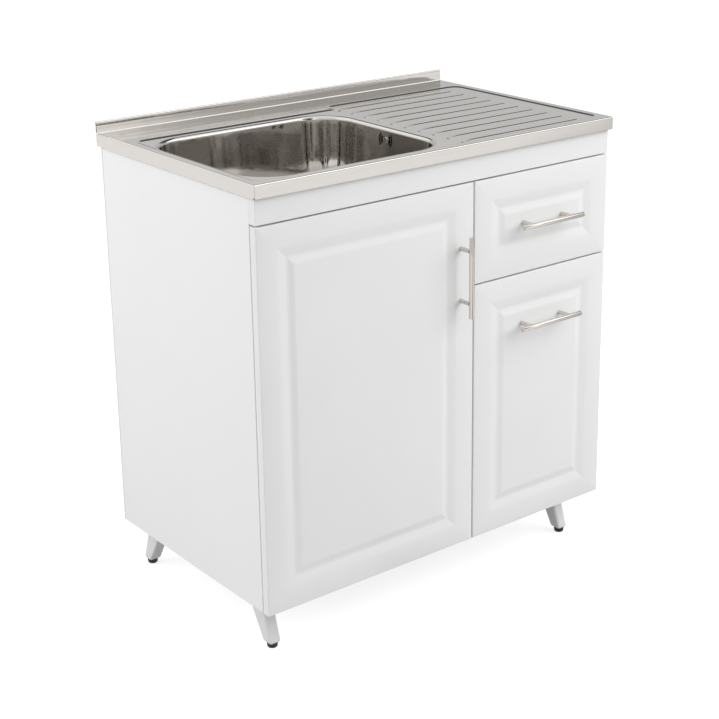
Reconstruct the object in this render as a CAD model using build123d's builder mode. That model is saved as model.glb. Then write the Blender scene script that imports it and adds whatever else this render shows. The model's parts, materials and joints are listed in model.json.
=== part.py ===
from build123d import *
import os

# Kitchen sink unit: a white two-column base cabinet on splayed legs under a pressed
# steel sink top. All sizes are in millimetres. X runs along the front, Y runs from the
# front to the wall, Z is up. The origin is on the floor, in the middle of the footprint.

# ---- Sink top ----
deck_width = 800.0
deck_depth = 500.0
sheet = 0.8
lip_drop = 23.5
lip_radius = 2.0
upstand_rise = 21.0
upstand_fold = 4.0
field_margin = 16.0
field_depth = 4.0
field_radius = 26.0
bowl_field_behind = 22.0
drainer_field_back = 72.0
drainer_gap = 18.0
press_angle = 50.0
bead_from_back = 40.0
bead_width = 30.0
bead_depth = 2.5
bead_end_margin = 24.0

# ---- Drainer ribs ----
rib_count = 10
rib_pitch = 39.5
rib_first = 36.0
rib_width = 13.0
rib_rise = 2.4
rib_inset = 10.0
rib_right_margin = 62.0
rib_angle = 45.0

# ---- Bowl ----
bowl_left = 28.0
bowl_front = 31.0
bowl_width = 396.0
bowl_length = 347.0
bowl_radius = 70.0
bowl_depth = 150.0
bowl_draft = 4.0
bowl_floor_radius = 42.0
bowl_flange = 3.5

# ---- Waste and overflow ----
waste_hole_radius = 28.0
waste_lip_radius = 35.0
waste_lip = 1.5
waste_cup_radius = 26.5
waste_cup_depth = 14.0
waste_metal = 1.2
waste_slot_radius = 4.0
waste_slot_circle = 15.0
waste_slot_count = 6
gasket_radius = 36.0
gasket_thickness = 3.0
trap_radius = 23.9
trap_length = 30.0
trap_wall = 3.0
waste_body_radius = 32.0
waste_body_depth = 44.0
waste_collar = 5.0
waste_cone = 10.0
bridge_width = 12.0
bridge_height = 5.0
bridge_drop = 20.0
waste_screw_radius = 3.0
waste_screw_head = 6.0
waste_screw_head_height = 2.5
waste_screw_length = 12.0
basket_radius = 24.0
basket_depth = 11.0
basket_metal = 1.0
basket_rim = 30.0
basket_knob_radius = 4.0
basket_knob_height = 16.0
basket_hole_radius = 2.0
basket_hole_circle = 15.0
basket_hole_count = 8
overflow_drop = 24.0
overflow_slot_inner = 11.0
overflow_slot_outer = 17.0
overflow_slot_width = 3.0
overflow_slot_angle = 70.0
overflow_head_radius = 16.5
overflow_head_length = 24.0
overflow_head_wall = 2.5
overflow_boss_radius = 5.0
overflow_screw_radius = 2.5
overflow_screw_head = 5.5
overflow_screw_head_height = 2.0
overflow_screw_length = 16.0
spigot_radius = 9.5
spigot_bore = 7.5
spigot_axis = 13.0
spigot_drop = 34.0
pipe_radius = 11.5
pipe_overlap = 14.0
pipe_bend = 30.0
port_drop = 30.0

# ---- Cabinet ----
side_overhang = 6.0
board = 16.0
back_board = 3.0
back_inset = 4.5
front_setback = 8.3
front_thickness = 16.0
front_gap = 2.0
reveal = 3.0
rail_bottom_drop = 68.6
cabinet_bottom_drop = 755.4
divider_clearance = 32.1
rear_rail_height = 80.0
pipe_cutout_width = 300.0
pipe_cutout_height = 220.0
pipe_cutout_centre = 320.0
wall_hole_radius = 3.0
wall_hole_spacing = 600.0

# ---- Routed fronts ----
front_edge_radius = 1.2
route_outer = 46.0
route_inner = 74.0
route_depth = 3.0
route_raise = 2.2
route_angle = 55.0
drawer_split_drop = 260.5

# ---- Handles ----
handle_length = 148.0
handle_radius = 5.0
handle_reach = 35.0
handle_hole_spacing = 96.0
post_radius = 4.0
door_handle_inset = 29.6
door_handle_drop = 162.2
deep_handle_drop = 94.5
handle_screw_radius = 2.0
handle_screw_head = 4.0
handle_screw_head_height = 2.2
handle_screw_bite = 9.0
handle_chamfer = 0.6

# ---- Concealed hinges (u from the door's hinge edge, w from the door's face) ----
hinge_end_distance = 90.0
arm_pivot_u = 28.0
arm_pivot_w = 19.0
cup_pivot_u = 9.2
cup_pivot_w = 13.0
cup_radius = 17.5
cup_centre_u = 22.5
cup_depth = 11.5
cup_wall = 1.0
cup_rim_radius = 19.0
cup_rim = 0.6
pivot_pin_radius = 1.5
cup_pin_radius = 1.25
cup_pin_half = 9.6
link_half_width = 4.6
link_thickness = 2.4
link_eye = 3.0
link_elbow_u = 17.7
link_elbow_w = 9.9
arm_half_width = 6.2
arm_metal = 1.2
arm_nose = 3.6
arm_height = 13.0
arm_back_w = 78.0
arm_web_start_w = 30.0
plate_thickness = 2.5
plate_spine_half = 8.0
plate_start_w = 28.0
plate_end_w = 80.0
plate_wing_half = 24.0
plate_wing_w = 55.0
plate_wing_depth = 12.0
plate_corner = 3.0
plate_screw_half = 16.0

# ---- Drawers and runners ----
drawer_board = 12.0
drawer_bottom_board = 3.0
drawer_groove = 6.0
drawer_groove_rise = 10.0
drawer_length = 400.0
runner_gap = 12.5
upper_box_rise = 15.0
upper_box_height = 110.0
lower_box_rise = 52.0
lower_box_height = 200.0
runner_metal = 1.2
runner_height = 27.2
runner_flange = 10.0
runner_start = 3.0
runner_length = 400.0
roller_radius = 10.0
roller_width = 6.5
roller_axle = 3.0
roller_rest = 0.15
roller_end_distance = 14.0
box_above_runner = 10.0
track_start = 30.0
runner_screw_spacing = 256.0

# ---- Legs ----
leg_height = 98.6
leg_width = 24.0
leg_foot_depth = 24.0
leg_top_depth = 47.0
leg_lean = 28.0
leg_end_distance = 44.0
front_foot_distance = 67.0
back_foot_distance = 24.0
leg_corner = 3.0
leg_plate_size = 58.0
leg_plate_thickness = 2.0
leg_plate_screws = 44.0
leg_bolt_radius = 4.0
leg_bolt_length = 34.0
glide_height = 10.0
glide_radius = 10.0
glide_tread = 8.5
glide_stem = 3.5
glide_stem_length = 9.0

# ---- Fixing screws and clips ----
screw_radius = 1.75
screw_length = 12.0
screw_head = 3.4
screw_head_height = 1.6
clip_width = 20.0
clip_height = 24.0
clip_reach = 14.0
clip_metal = 1.5
clip_back_distance = 70.0
clip_front_distance = 110.0

# ---- Clearances ----
seat_gap = 0.3
fit_gap = 0.05
slip_gap = 0.1

# ---- Places that follow from the sizes above ----
handle_overhang = handle_reach - front_setback
deck_front = (handle_overhang - deck_depth) / 2
deck_back = deck_front + deck_depth
deck_left = -deck_width / 2
deck_right = deck_width / 2
deck_middle = (deck_front + deck_back) / 2
deck_height = leg_height + cabinet_bottom_drop
field_level = deck_height - field_depth
field_underside = field_level - sheet

bowl_x = deck_left + bowl_left + bowl_width / 2
bowl_y = deck_front + bowl_front + bowl_length / 2
bowl_floor = field_underside - bowl_depth
bowl_right = bowl_left + bowl_width
bowl_field_back = deck_depth - bowl_front - bowl_length - bowl_field_behind
drainer_left = bowl_right + drainer_gap
rib_left = drainer_left + rib_inset

face_y = deck_front + front_setback
carcass_front = face_y + front_thickness + front_gap
carcass_back = deck_back - back_inset
panel_back = carcass_back - back_board
carcass_top = field_underside - seat_gap
carcass_bottom = leg_height
left_outer = deck_left + side_overhang
left_inner = left_outer + board
right_outer = deck_right - side_overhang
right_inner = right_outer - board
divider_left = deck_left + bowl_right + divider_clearance
divider_right = divider_left + board
divider_middle = divider_left + board / 2
rail_bottom = deck_height - rail_bottom_drop
wall_hole_height = carcass_top - rear_rail_height / 2
front_top = rail_bottom - reveal
front_split = deck_height - drawer_split_drop

door_left = left_outer
door_right = divider_middle - reveal / 2
drawer_front_left = divider_middle + reveal / 2
drawer_front_right = right_outer
drawer_x = (divider_right + right_inner) / 2
handle_axis_y = face_y - handle_reach + handle_radius

# heights of the waste fittings, counted from the bowl's floor
waste_axis = Axis((bowl_x, bowl_y, 0), (0, 0, 1))
cup_floor = -waste_cup_depth
gasket_bottom = -sheet - gasket_thickness
body_bottom = gasket_bottom - waste_body_depth
trap_top = body_bottom - waste_cone
trap_bottom = trap_top - trap_length
bridge_top = gasket_bottom - bridge_drop + bridge_height
overflow_depth = overflow_drop - field_depth - sheet
sheet_cut = 3 * sheet

box_left = divider_right + runner_gap
box_right = right_inner - runner_gap
box_front = face_y + front_thickness
box_back = box_front + drawer_length
box_low = {
    "upper": front_split + reveal / 2 + upper_box_rise,
    "lower": carcass_bottom + lower_box_rise,
}
runner_low = {level: low - box_above_runner for level, low in box_low.items()}
roller_from_panel = runner_metal + screw_head_height + seat_gap
hinge_heights = (carcass_bottom + hinge_end_distance, front_top - hinge_end_distance)

leg_x = right_outer - leg_end_distance
lean_back = leg_lean + (leg_top_depth - leg_foot_depth) / 2
front_foot_y = deck_front + front_foot_distance
back_foot_y = deck_back - back_foot_distance
leg_tops = [
    (side * leg_x, y)
    for y in (front_foot_y + lean_back, back_foot_y - lean_back)
    for side in (-1, 1)
]
# the clips: x of the board they hang on, y, and the way they point
clip_spots = [
    (left_inner, deck_back - clip_back_distance, 1),
    (right_inner, deck_back - clip_back_distance, -1),
    (right_inner, deck_front + clip_front_distance, -1),
    (divider_right, deck_front + clip_front_distance, 1),
]


def finish(piece, label):
    piece.part.label = label
    export_step(piece.part, f"parts/{label}.step")


def block(x_range, y_range, z_range, mode=Mode.ADD):
    # a rectangular board or cut between two corners, in the part being built
    ranges = (x_range, y_range, z_range)
    with Locations(tuple((low + high) / 2 for low, high in ranges)):
        Box(*(high - low for low, high in ranges), mode=mode)


def facing(point, outward, across):
    # a plane at a point, with its normal pointing outward
    return Plane(origin=point, x_dir=across, z_dir=outward)


# ---------------------------------------------------------------- fixing screws
def screw_places():
    # every wood screw of the cabinet: the plane under its head, normal pointing out
    places = []
    for height in hinge_heights:
        for side in (-1, 1):
            point = (left_inner + plate_thickness, face_y + plate_wing_w, height + side * plate_screw_half)
            places.append(facing(point, (1, 0, 0), (0, 1, 0)))
    for low in runner_low.values():
        for reach in (-1, 1):
            y = carcass_front + runner_start + runner_length / 2 + reach * runner_screw_spacing / 2
            z = low + runner_height / 2
            places.append(facing((divider_right + runner_metal, y, z), (1, 0, 0), (0, 1, 0)))
            places.append(facing((right_inner - runner_metal, y, z), (-1, 0, 0), (0, 1, 0)))
    for x, y in leg_tops:
        for dx in (-1, 1):
            for dy in (-1, 1):
                screw_x = x + dx * leg_plate_screws / 2
                screw_y = y + dy * leg_plate_screws / 2
                point = (screw_x, screw_y, carcass_bottom - leg_plate_thickness)
                places.append(facing(point, (0, 0, -1), (1, 0, 0)))
    for x, y, inward in clip_spots:
        point = (x + inward * clip_metal, y, carcass_top - clip_height / 2)
        places.append(facing(point, (inward, 0, 0), (0, 1, 0)))
    return places


all_screws = screw_places()


def drill_screws():
    # the pilot holes, cut in whatever board or bracket is being built
    with Locations(*all_screws):
        Cylinder(
            screw_radius + fit_gap,
            screw_length + fit_gap,
            align=(Align.CENTER, Align.CENTER, Align.MAX),
            mode=Mode.SUBTRACT,
        )


def cabinet_screw_set():
    with BuildPart() as piece:
        with Locations(*all_screws):
            Cylinder(screw_radius, screw_length, align=(Align.CENTER, Align.CENTER, Align.MAX))
            Cylinder(screw_head, screw_head_height, align=(Align.CENTER, Align.CENTER, Align.MIN))
    finish(piece, "cabinet_screws")


# ---------------------------------------------------------------- sink top and bowl
def field_outline(grow):
    # the pressed-down field: deeper behind the drainer than behind the bowl
    low = deck_front + field_margin - grow
    bowl_high = deck_back - bowl_field_back + grow
    drainer_high = deck_back - drainer_field_back + grow
    left = deck_left + field_margin - grow
    right = deck_right - field_margin + grow
    step = deck_left + drainer_left - grow
    with Locations(((left + right) / 2, (low + bowl_high) / 2)):
        RectangleRounded(right - left, bowl_high - low, field_radius)
    with Locations(((step + right) / 2, (low + drainer_high) / 2)):
        RectangleRounded(right - step, drainer_high - low, field_radius)


def bead_outline(grow):
    # the long stiffening bead in front of the upstand
    with Locations((0, deck_back - bead_from_back)):
        SlotOverall(deck_width - 2 * bead_end_margin + 2 * grow, bead_width + 2 * grow)


def bowl_outline(grow, mode=Mode.ADD):
    with Locations((bowl_x, bowl_y)):
        RectangleRounded(bowl_width + 2 * grow, bowl_length + 2 * grow, bowl_radius + grow, mode=mode)


def sink_top():
    rib_length = deck_width - rib_left - rib_right_margin
    rib_x = deck_left + rib_left + rib_length / 2
    with BuildPart() as piece:
        with BuildSketch(Plane.XY.offset(deck_height - lip_drop)):
            with Locations((0, deck_middle)):
                Rectangle(deck_width, deck_depth)
        extrude(amount=lip_drop)
        rim = piece.faces().sort_by(Axis.Z)[-1].edges().sort_by(Axis.Y)[:-1]
        corners = piece.edges().filter_by(Axis.Z).group_by(Axis.Y)[0]
        fillet(rim + corners, radius=lip_radius)
        with BuildSketch(Plane.XY.offset(deck_height)):
            field_outline(0)
        extrude(amount=-field_depth, taper=press_angle, mode=Mode.SUBTRACT)
        with BuildSketch(Plane.XY.offset(deck_height)):
            bead_outline(0)
        extrude(amount=-bead_depth, taper=press_angle, mode=Mode.SUBTRACT)
        # hollow the underside, first below the field and then around it
        with BuildSketch(Plane.XY.offset(deck_height - lip_drop)):
            with Locations((0, deck_middle + sheet)):
                Rectangle(deck_width - 2 * sheet, deck_depth)
        extrude(amount=lip_drop - field_depth - sheet, mode=Mode.SUBTRACT)
        with BuildSketch(Plane.XY.offset(field_underside)):
            with Locations((0, deck_middle + sheet)):
                Rectangle(deck_width - 2 * lip_radius, deck_depth)
            with BuildSketch(mode=Mode.SUBTRACT):
                field_outline(sheet)
                bead_outline(sheet)
        extrude(amount=field_depth, mode=Mode.SUBTRACT)
        # upstand: the sheet turned up at the back and folded over
        with BuildSketch(Plane.XY.offset(deck_height - sheet)):
            with Locations((0, deck_back - upstand_fold / 2)):
                Rectangle(deck_width, upstand_fold)
        extrude(amount=upstand_rise + sheet)
        with BuildSketch(Plane.XY.offset(deck_height - sheet)):
            with Locations((0, deck_back - upstand_fold / 2)):
                Rectangle(deck_width, upstand_fold - 2 * sheet)
        extrude(amount=upstand_rise, mode=Mode.SUBTRACT)
        # mouth of the bowl
        with BuildSketch(Plane.XY.offset(deck_height)):
            bowl_outline(0)
        extrude(amount=-(field_depth + 2 * sheet), mode=Mode.SUBTRACT)
        # raised drainer ribs
        with BuildSketch(Plane.XY.offset(field_level)):
            for row in range(rib_count):
                with Locations((rib_x, deck_front + rib_first + row * rib_pitch)):
                    SlotOverall(rib_length, rib_width)
        extrude(amount=rib_rise, taper=rib_angle)
    finish(piece, "sink_top")


def wall_plane(depth, lift):
    # a plane on the outside of the bowl's right wall, lifted off it along its normal
    outward = Vector(1, 0, 0).rotate(Axis.Y, bowl_draft)
    upward = Vector(0, 0, 1).rotate(Axis.Y, bowl_draft)
    rim = Vector(deck_left + bowl_left + bowl_width + sheet, bowl_y, field_underside)
    return Plane(origin=rim - upward * depth + outward * lift, x_dir=(0, 1, 0), z_dir=outward)


def overflow_slots():
    # four curved slots, two on each side of the fixing screw
    half = overflow_slot_angle / 2
    for turn in (0, 180):
        for radius in (overflow_slot_inner, overflow_slot_outer):
            with BuildLine(mode=Mode.PRIVATE) as path:
                CenterArc((0, 0), radius, turn - half, overflow_slot_angle)
            SlotArc(path.wire(), overflow_slot_width)
    Circle(overflow_screw_radius + slip_gap)


def bowl_form(grow, depth, floor_radius):
    # a drafted block with a rounded floor, hanging below the field
    with BuildPart() as form:
        with BuildSketch(Plane.XY.offset(field_underside)):
            bowl_outline(grow)
        extrude(amount=-depth, taper=bowl_draft)
        fillet(form.faces().sort_by(Axis.Z)[0].edges(), radius=floor_radius)
    return form.part


def sink_bowl():
    outside = bowl_form(sheet, bowl_depth + sheet, bowl_floor_radius)
    inside = bowl_form(0, bowl_depth, bowl_floor_radius - sheet)
    with BuildPart() as piece:
        add(outside)
        add(inside, mode=Mode.SUBTRACT)
        with BuildSketch(Plane.XY.offset(field_underside)):
            bowl_outline(sheet + bowl_flange)
            bowl_outline(0, Mode.SUBTRACT)
        extrude(amount=-sheet)
        with BuildSketch(Plane.XY.offset(bowl_floor)):
            with Locations((bowl_x, bowl_y)):
                Circle(waste_hole_radius)
        extrude(amount=sheet_cut, both=True, mode=Mode.SUBTRACT)
        with BuildSketch(wall_plane(overflow_depth, 0)):
            overflow_slots()
        extrude(amount=sheet_cut, both=True, mode=Mode.SUBTRACT)
    finish(piece, "sink_bowl")


# ---------------------------------------------------------------- waste fittings
def waste_plane(z):
    # radius to the right and height upward, through the middle of the waste
    return facing((bowl_x, bowl_y, z), (0, -1, 0), (1, 0, 0))


def waste_flange():
    inner = waste_cup_radius - waste_metal
    with BuildPart() as piece:
        with BuildSketch(waste_plane(bowl_floor)):
            with BuildLine():
                Polyline(
                    (waste_screw_radius + slip_gap, cup_floor),
                    (inner, cup_floor),
                    (inner, waste_lip),
                    (waste_lip_radius, waste_lip),
                    (waste_lip_radius, 0),
                    (waste_cup_radius, 0),
                    (waste_cup_radius, cup_floor - waste_metal),
                    (waste_screw_radius + slip_gap, cup_floor - waste_metal),
                    close=True,
                )
            make_face()
        revolve(axis=waste_axis)
        with BuildSketch(Plane.XY.offset(bowl_floor + cup_floor)):
            with Locations((bowl_x, bowl_y)):
                with PolarLocations(waste_slot_circle, waste_slot_count):
                    Circle(waste_slot_radius)
        extrude(amount=-2 * waste_metal, mode=Mode.SUBTRACT)
    finish(piece, "waste_flange")


def waste_gasket():
    with BuildPart() as piece:
        with BuildSketch(Plane.XY.offset(bowl_floor + gasket_bottom)):
            with Locations((bowl_x, bowl_y)):
                Circle(gasket_radius)
                Circle(waste_hole_radius, mode=Mode.SUBTRACT)
        extrude(amount=gasket_thickness)
    finish(piece, "waste_gasket")


def waste_body():
    bore = waste_body_radius - trap_wall
    port_z = bowl_floor - port_drop
    spigot_length = trap_wall + pipe_overlap
    with BuildPart() as piece:
        with BuildSketch(waste_plane(bowl_floor)):
            with BuildLine():
                Polyline(
                    (bore, gasket_bottom),
                    (gasket_radius, gasket_bottom),
                    (gasket_radius, gasket_bottom - waste_collar),
                    (waste_body_radius, gasket_bottom - waste_collar),
                    (waste_body_radius, body_bottom),
                    (trap_radius, trap_top),
                    (trap_radius, trap_bottom),
                    (trap_radius - trap_wall, trap_bottom),
                    (trap_radius - trap_wall, trap_top),
                    (bore, body_bottom),
                    close=True,
                )
            make_face()
        revolve(axis=waste_axis)
        with BuildSketch(Plane.XY.offset(bowl_floor + bridge_top - bridge_height)):
            with Locations((bowl_x, bowl_y)):
                Rectangle(bridge_width, 2 * bore + trap_wall)
        extrude(amount=bridge_height)
        with BuildSketch(Plane.XY.offset(bowl_floor + bridge_top)):
            with Locations((bowl_x, bowl_y)):
                Circle(waste_screw_radius + fit_gap)
        extrude(amount=-bridge_height, mode=Mode.SUBTRACT)
        port = facing((bowl_x + bore, bowl_y, port_z), (1, 0, 0), (0, 1, 0))
        with BuildSketch(port.offset(trap_wall / 2)):
            Circle(spigot_radius)
        extrude(amount=spigot_length)
        with BuildSketch(port.offset(-trap_wall)):
            Circle(spigot_bore)
        extrude(amount=spigot_length + 2 * trap_wall, mode=Mode.SUBTRACT)
    finish(piece, "waste_body")


def overflow_head():
    bore = overflow_head_radius - overflow_head_wall
    base = wall_plane(overflow_depth, slip_gap)
    spout_x = base.origin.X + spigot_axis
    with BuildPart() as piece:
        with BuildSketch(base):
            Circle(overflow_head_radius)
        extrude(amount=overflow_head_length)
        with BuildSketch(Plane(origin=(spout_x, bowl_y, base.origin.Z), z_dir=(0, 0, -1))):
            Circle(spigot_radius)
        extrude(amount=spigot_drop)
        with BuildSketch(base):
            Circle(bore)
        extrude(amount=overflow_head_length - overflow_head_wall, mode=Mode.SUBTRACT)
        with BuildSketch(Plane(origin=(spout_x, bowl_y, base.origin.Z), z_dir=(0, 0, -1))):
            Circle(spigot_bore)
        extrude(amount=spigot_drop, mode=Mode.SUBTRACT)
        with BuildSketch(base.offset(overflow_head_wall)):
            Circle(overflow_boss_radius)
        extrude(amount=overflow_head_length - 2 * overflow_head_wall)
        with BuildSketch(base):
            Circle(overflow_screw_radius + fit_gap)
        extrude(amount=overflow_screw_length, mode=Mode.SUBTRACT)
    finish(piece, "overflow_head")


def overflow_pipe():
    base = wall_plane(overflow_depth, slip_gap)
    spout_x = base.origin.X + spigot_axis
    top = base.origin.Z - spigot_drop + pipe_overlap
    port_z = bowl_floor - port_drop
    end_x = bowl_x + waste_body_radius + slip_gap
    with BuildPart() as piece:
        with BuildLine():
            FilletPolyline(
                (spout_x, bowl_y, top),
                (spout_x, bowl_y, port_z),
                (end_x, bowl_y, port_z),
                radius=pipe_bend,
            )
        with BuildSketch(Plane(origin=(spout_x, bowl_y, top), z_dir=(0, 0, -1))):
            Circle(pipe_radius)
            Circle(spigot_radius + slip_gap, mode=Mode.SUBTRACT)
        sweep()
    finish(piece, "overflow_pipe")


def waste_screws():
    # the long screw of the waste and the short one of the overflow
    with BuildPart() as piece:
        with BuildSketch(Plane.XY.offset(bowl_floor + cup_floor)):
            with Locations((bowl_x, bowl_y)):
                Circle(waste_screw_head)
        extrude(amount=waste_screw_head_height)
        with BuildSketch(Plane.XY.offset(bowl_floor + cup_floor)):
            with Locations((bowl_x, bowl_y)):
                Circle(waste_screw_radius)
        extrude(amount=-waste_screw_length)
        with BuildSketch(wall_plane(overflow_depth, -sheet - slip_gap)):
            Circle(overflow_screw_head)
        extrude(amount=-overflow_screw_head_height)
        with BuildSketch(wall_plane(overflow_depth, -sheet - slip_gap)):
            Circle(overflow_screw_radius)
        extrude(amount=overflow_screw_length)
    finish(piece, "waste_screws")


def strainer_basket():
    # a perforated cup that hangs by its rim on the waste and is lifted by a knob
    rim_low = waste_lip + slip_gap
    rim_high = rim_low + basket_metal
    outer = basket_radius
    bottom = rim_high - basket_depth
    with BuildPart() as piece:
        with BuildSketch(waste_plane(bowl_floor)):
            with BuildLine():
                Polyline(
                    (0, bottom),
                    (outer, bottom),
                    (outer, rim_low),
                    (basket_rim, rim_low),
                    (basket_rim, rim_high),
                    (outer - basket_metal, rim_high),
                    (outer - basket_metal, bottom + basket_metal),
                    (basket_knob_radius, bottom + basket_metal),
                    (basket_knob_radius, bottom + basket_knob_height),
                    (0, bottom + basket_knob_height),
                    close=True,
                )
            make_face()
        revolve(axis=waste_axis)
        with BuildSketch(Plane.XY.offset(bowl_floor + bottom)):
            with Locations((bowl_x, bowl_y)):
                with PolarLocations(basket_hole_circle, basket_hole_count):
                    Circle(basket_hole_radius)
        extrude(amount=2 * basket_metal, mode=Mode.SUBTRACT)
    finish(piece, "strainer_basket")


# ---------------------------------------------------------------- cabinet boards
def side_panels():
    for label, x_range in (
        ("side_panel_left", (left_outer, left_inner)),
        ("side_panel_right", (right_inner, right_outer)),
    ):
        with BuildPart() as piece:
            block(x_range, (carcass_front, panel_back), (carcass_bottom, carcass_top))
            drill_screws()
        finish(piece, label)


def bottom_panel():
    with BuildPart() as piece:
        z_range = (carcass_bottom, carcass_bottom + board)
        block((left_inner, right_inner), (carcass_front, panel_back), z_range)
        drill_screws()
    finish(piece, "bottom_panel")


def divider_panel():
    # notched at the top corner where the rear rail passes
    x_range = (divider_left, divider_right)
    rail_low = carcass_top - rear_rail_height
    with BuildPart() as piece:
        block(x_range, (carcass_front, panel_back), (carcass_bottom + board, carcass_top))
        block(x_range, (panel_back - board, panel_back), (rail_low, carcass_top), Mode.SUBTRACT)
        drill_screws()
    finish(piece, "divider_panel")


def front_rail():
    with BuildPart() as piece:
        block((left_outer, right_outer), (face_y, carcass_front), (rail_bottom, carcass_top))
        face = piece.faces().sort_by(Axis.Y)[0]
        fillet(face.edges(), radius=front_edge_radius)
    finish(piece, "front_rail")


def rear_rail():
    rail_low = carcass_top - rear_rail_height
    with BuildPart() as piece:
        block((left_inner, right_inner), (panel_back - board, panel_back), (rail_low, carcass_top))
        with BuildSketch(facing((0, panel_back, wall_hole_height), (0, 1, 0), (1, 0, 0))):
            with GridLocations(wall_hole_spacing, 0, 2, 1):
                Circle(wall_hole_radius)
        extrude(amount=-board, mode=Mode.SUBTRACT)
    finish(piece, "rear_rail")


def back_panel():
    cutout_x = (left_inner + divider_left) / 2
    cutout_z = carcass_bottom + pipe_cutout_centre
    with BuildPart() as piece:
        block((left_outer, right_outer), (panel_back, carcass_back), (carcass_bottom, carcass_top))
        with BuildSketch(facing((cutout_x, carcass_back, cutout_z), (0, 1, 0), (1, 0, 0))):
            Rectangle(pipe_cutout_width, pipe_cutout_height)
        extrude(amount=-back_board, mode=Mode.SUBTRACT)
        with BuildSketch(facing((0, carcass_back, wall_hole_height), (0, 1, 0), (1, 0, 0))):
            with GridLocations(wall_hole_spacing, 0, 2, 1):
                Circle(wall_hole_radius)
        extrude(amount=-back_board, mode=Mode.SUBTRACT)
    finish(piece, "back_panel")


def sink_clips():
    with BuildPart() as piece:
        for x, y, inward in clip_spots:
            y_range = (y - clip_width / 2, y + clip_width / 2)
            upright = sorted((x, x + inward * clip_metal))
            ledge = sorted((x, x + inward * clip_reach))
            block(upright, y_range, (carcass_top - clip_height, carcass_top))
            block(ledge, y_range, (carcass_top - clip_metal, carcass_top))
        drill_screws()
    finish(piece, "sink_clips")


# ---------------------------------------------------------------- legs
def legs():
    top = carcass_bottom - leg_plate_thickness
    for end, foot_y, lean in (("front", front_foot_y, lean_back), ("back", back_foot_y, -lean_back)):
        for side, sign in (("left", -1), ("right", 1)):
            with BuildPart() as piece:
                with BuildSketch(Plane.XY.offset(glide_height)):
                    with Locations((sign * leg_x, foot_y)):
                        RectangleRounded(leg_width, leg_foot_depth, leg_corner)
                with BuildSketch(Plane.XY.offset(top)):
                    with Locations((sign * leg_x, foot_y + lean)):
                        RectangleRounded(leg_width, leg_top_depth, leg_corner)
                loft()
                with BuildSketch(Plane.XY.offset(glide_height)):
                    with Locations((sign * leg_x, foot_y)):
                        Circle(glide_stem + fit_gap)
                extrude(amount=glide_stem_length + fit_gap, mode=Mode.SUBTRACT)
                with BuildSketch(Plane.XY.offset(top)):
                    with Locations((sign * leg_x, foot_y + lean)):
                        Circle(leg_bolt_radius + fit_gap)
                extrude(amount=-leg_bolt_length, mode=Mode.SUBTRACT)
            finish(piece, f"leg_{end}_{side}")


def leg_plates():
    with BuildPart() as piece:
        with BuildSketch(Plane.XY.offset(carcass_bottom - leg_plate_thickness)):
            with Locations(*leg_tops):
                RectangleRounded(leg_plate_size, leg_plate_size, leg_corner)
                Circle(leg_bolt_radius + fit_gap, mode=Mode.SUBTRACT)
        extrude(amount=leg_plate_thickness)
        drill_screws()
    finish(piece, "leg_plates")


def leg_bolts():
    with BuildPart() as piece:
        with BuildSketch(Plane.XY.offset(carcass_bottom)):
            with Locations(*leg_tops):
                Circle(leg_bolt_radius)
        extrude(amount=-leg_bolt_length)
    finish(piece, "leg_bolts")


def foot_glides():
    with BuildPart() as piece:
        for y in (front_foot_y, back_foot_y):
            for x in (-leg_x, leg_x):
                with BuildSketch(facing((x, y, 0), (0, -1, 0), (1, 0, 0))):
                    with BuildLine():
                        Polyline(
                            (0, 0),
                            (glide_tread, 0),
                            (glide_radius, glide_height),
                            (glide_stem, glide_height),
                            (glide_stem, glide_height + glide_stem_length),
                            (0, glide_height + glide_stem_length),
                            close=True,
                        )
                    make_face()
                revolve(axis=Axis((x, y, 0), (0, 0, 1)))
    finish(piece, "foot_glides")


# ---------------------------------------------------------------- fronts and handles
def routed_front(x_range, z_range, screw_spots):
    # a front board with a routed frame round a raised centre, drilled for its handle
    width = x_range[1] - x_range[0]
    height = z_range[1] - z_range[0]
    middle = ((x_range[0] + x_range[1]) / 2, (z_range[0] + z_range[1]) / 2)
    face_plane = facing((middle[0], face_y, middle[1]), (0, -1, 0), (1, 0, 0))
    with BuildPart() as piece:
        with BuildSketch(face_plane):
            Rectangle(width, height)
        extrude(amount=-front_thickness)
        fillet(piece.faces().sort_by(Axis.Y)[0].edges(), radius=front_edge_radius)
        with BuildSketch(face_plane):
            Rectangle(width - 2 * route_outer, height - 2 * route_outer)
        extrude(amount=-route_depth, taper=route_angle, mode=Mode.SUBTRACT)
        with BuildSketch(face_plane.offset(-route_depth)):
            Rectangle(width - 2 * route_inner, height - 2 * route_inner)
        extrude(amount=route_raise, taper=route_angle)
        with BuildSketch(face_plane):
            with Locations(*[(x - middle[0], z - middle[1]) for x, z in screw_spots]):
                Circle(handle_screw_radius + slip_gap)
        extrude(amount=-front_thickness, mode=Mode.SUBTRACT)
    return piece


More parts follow.
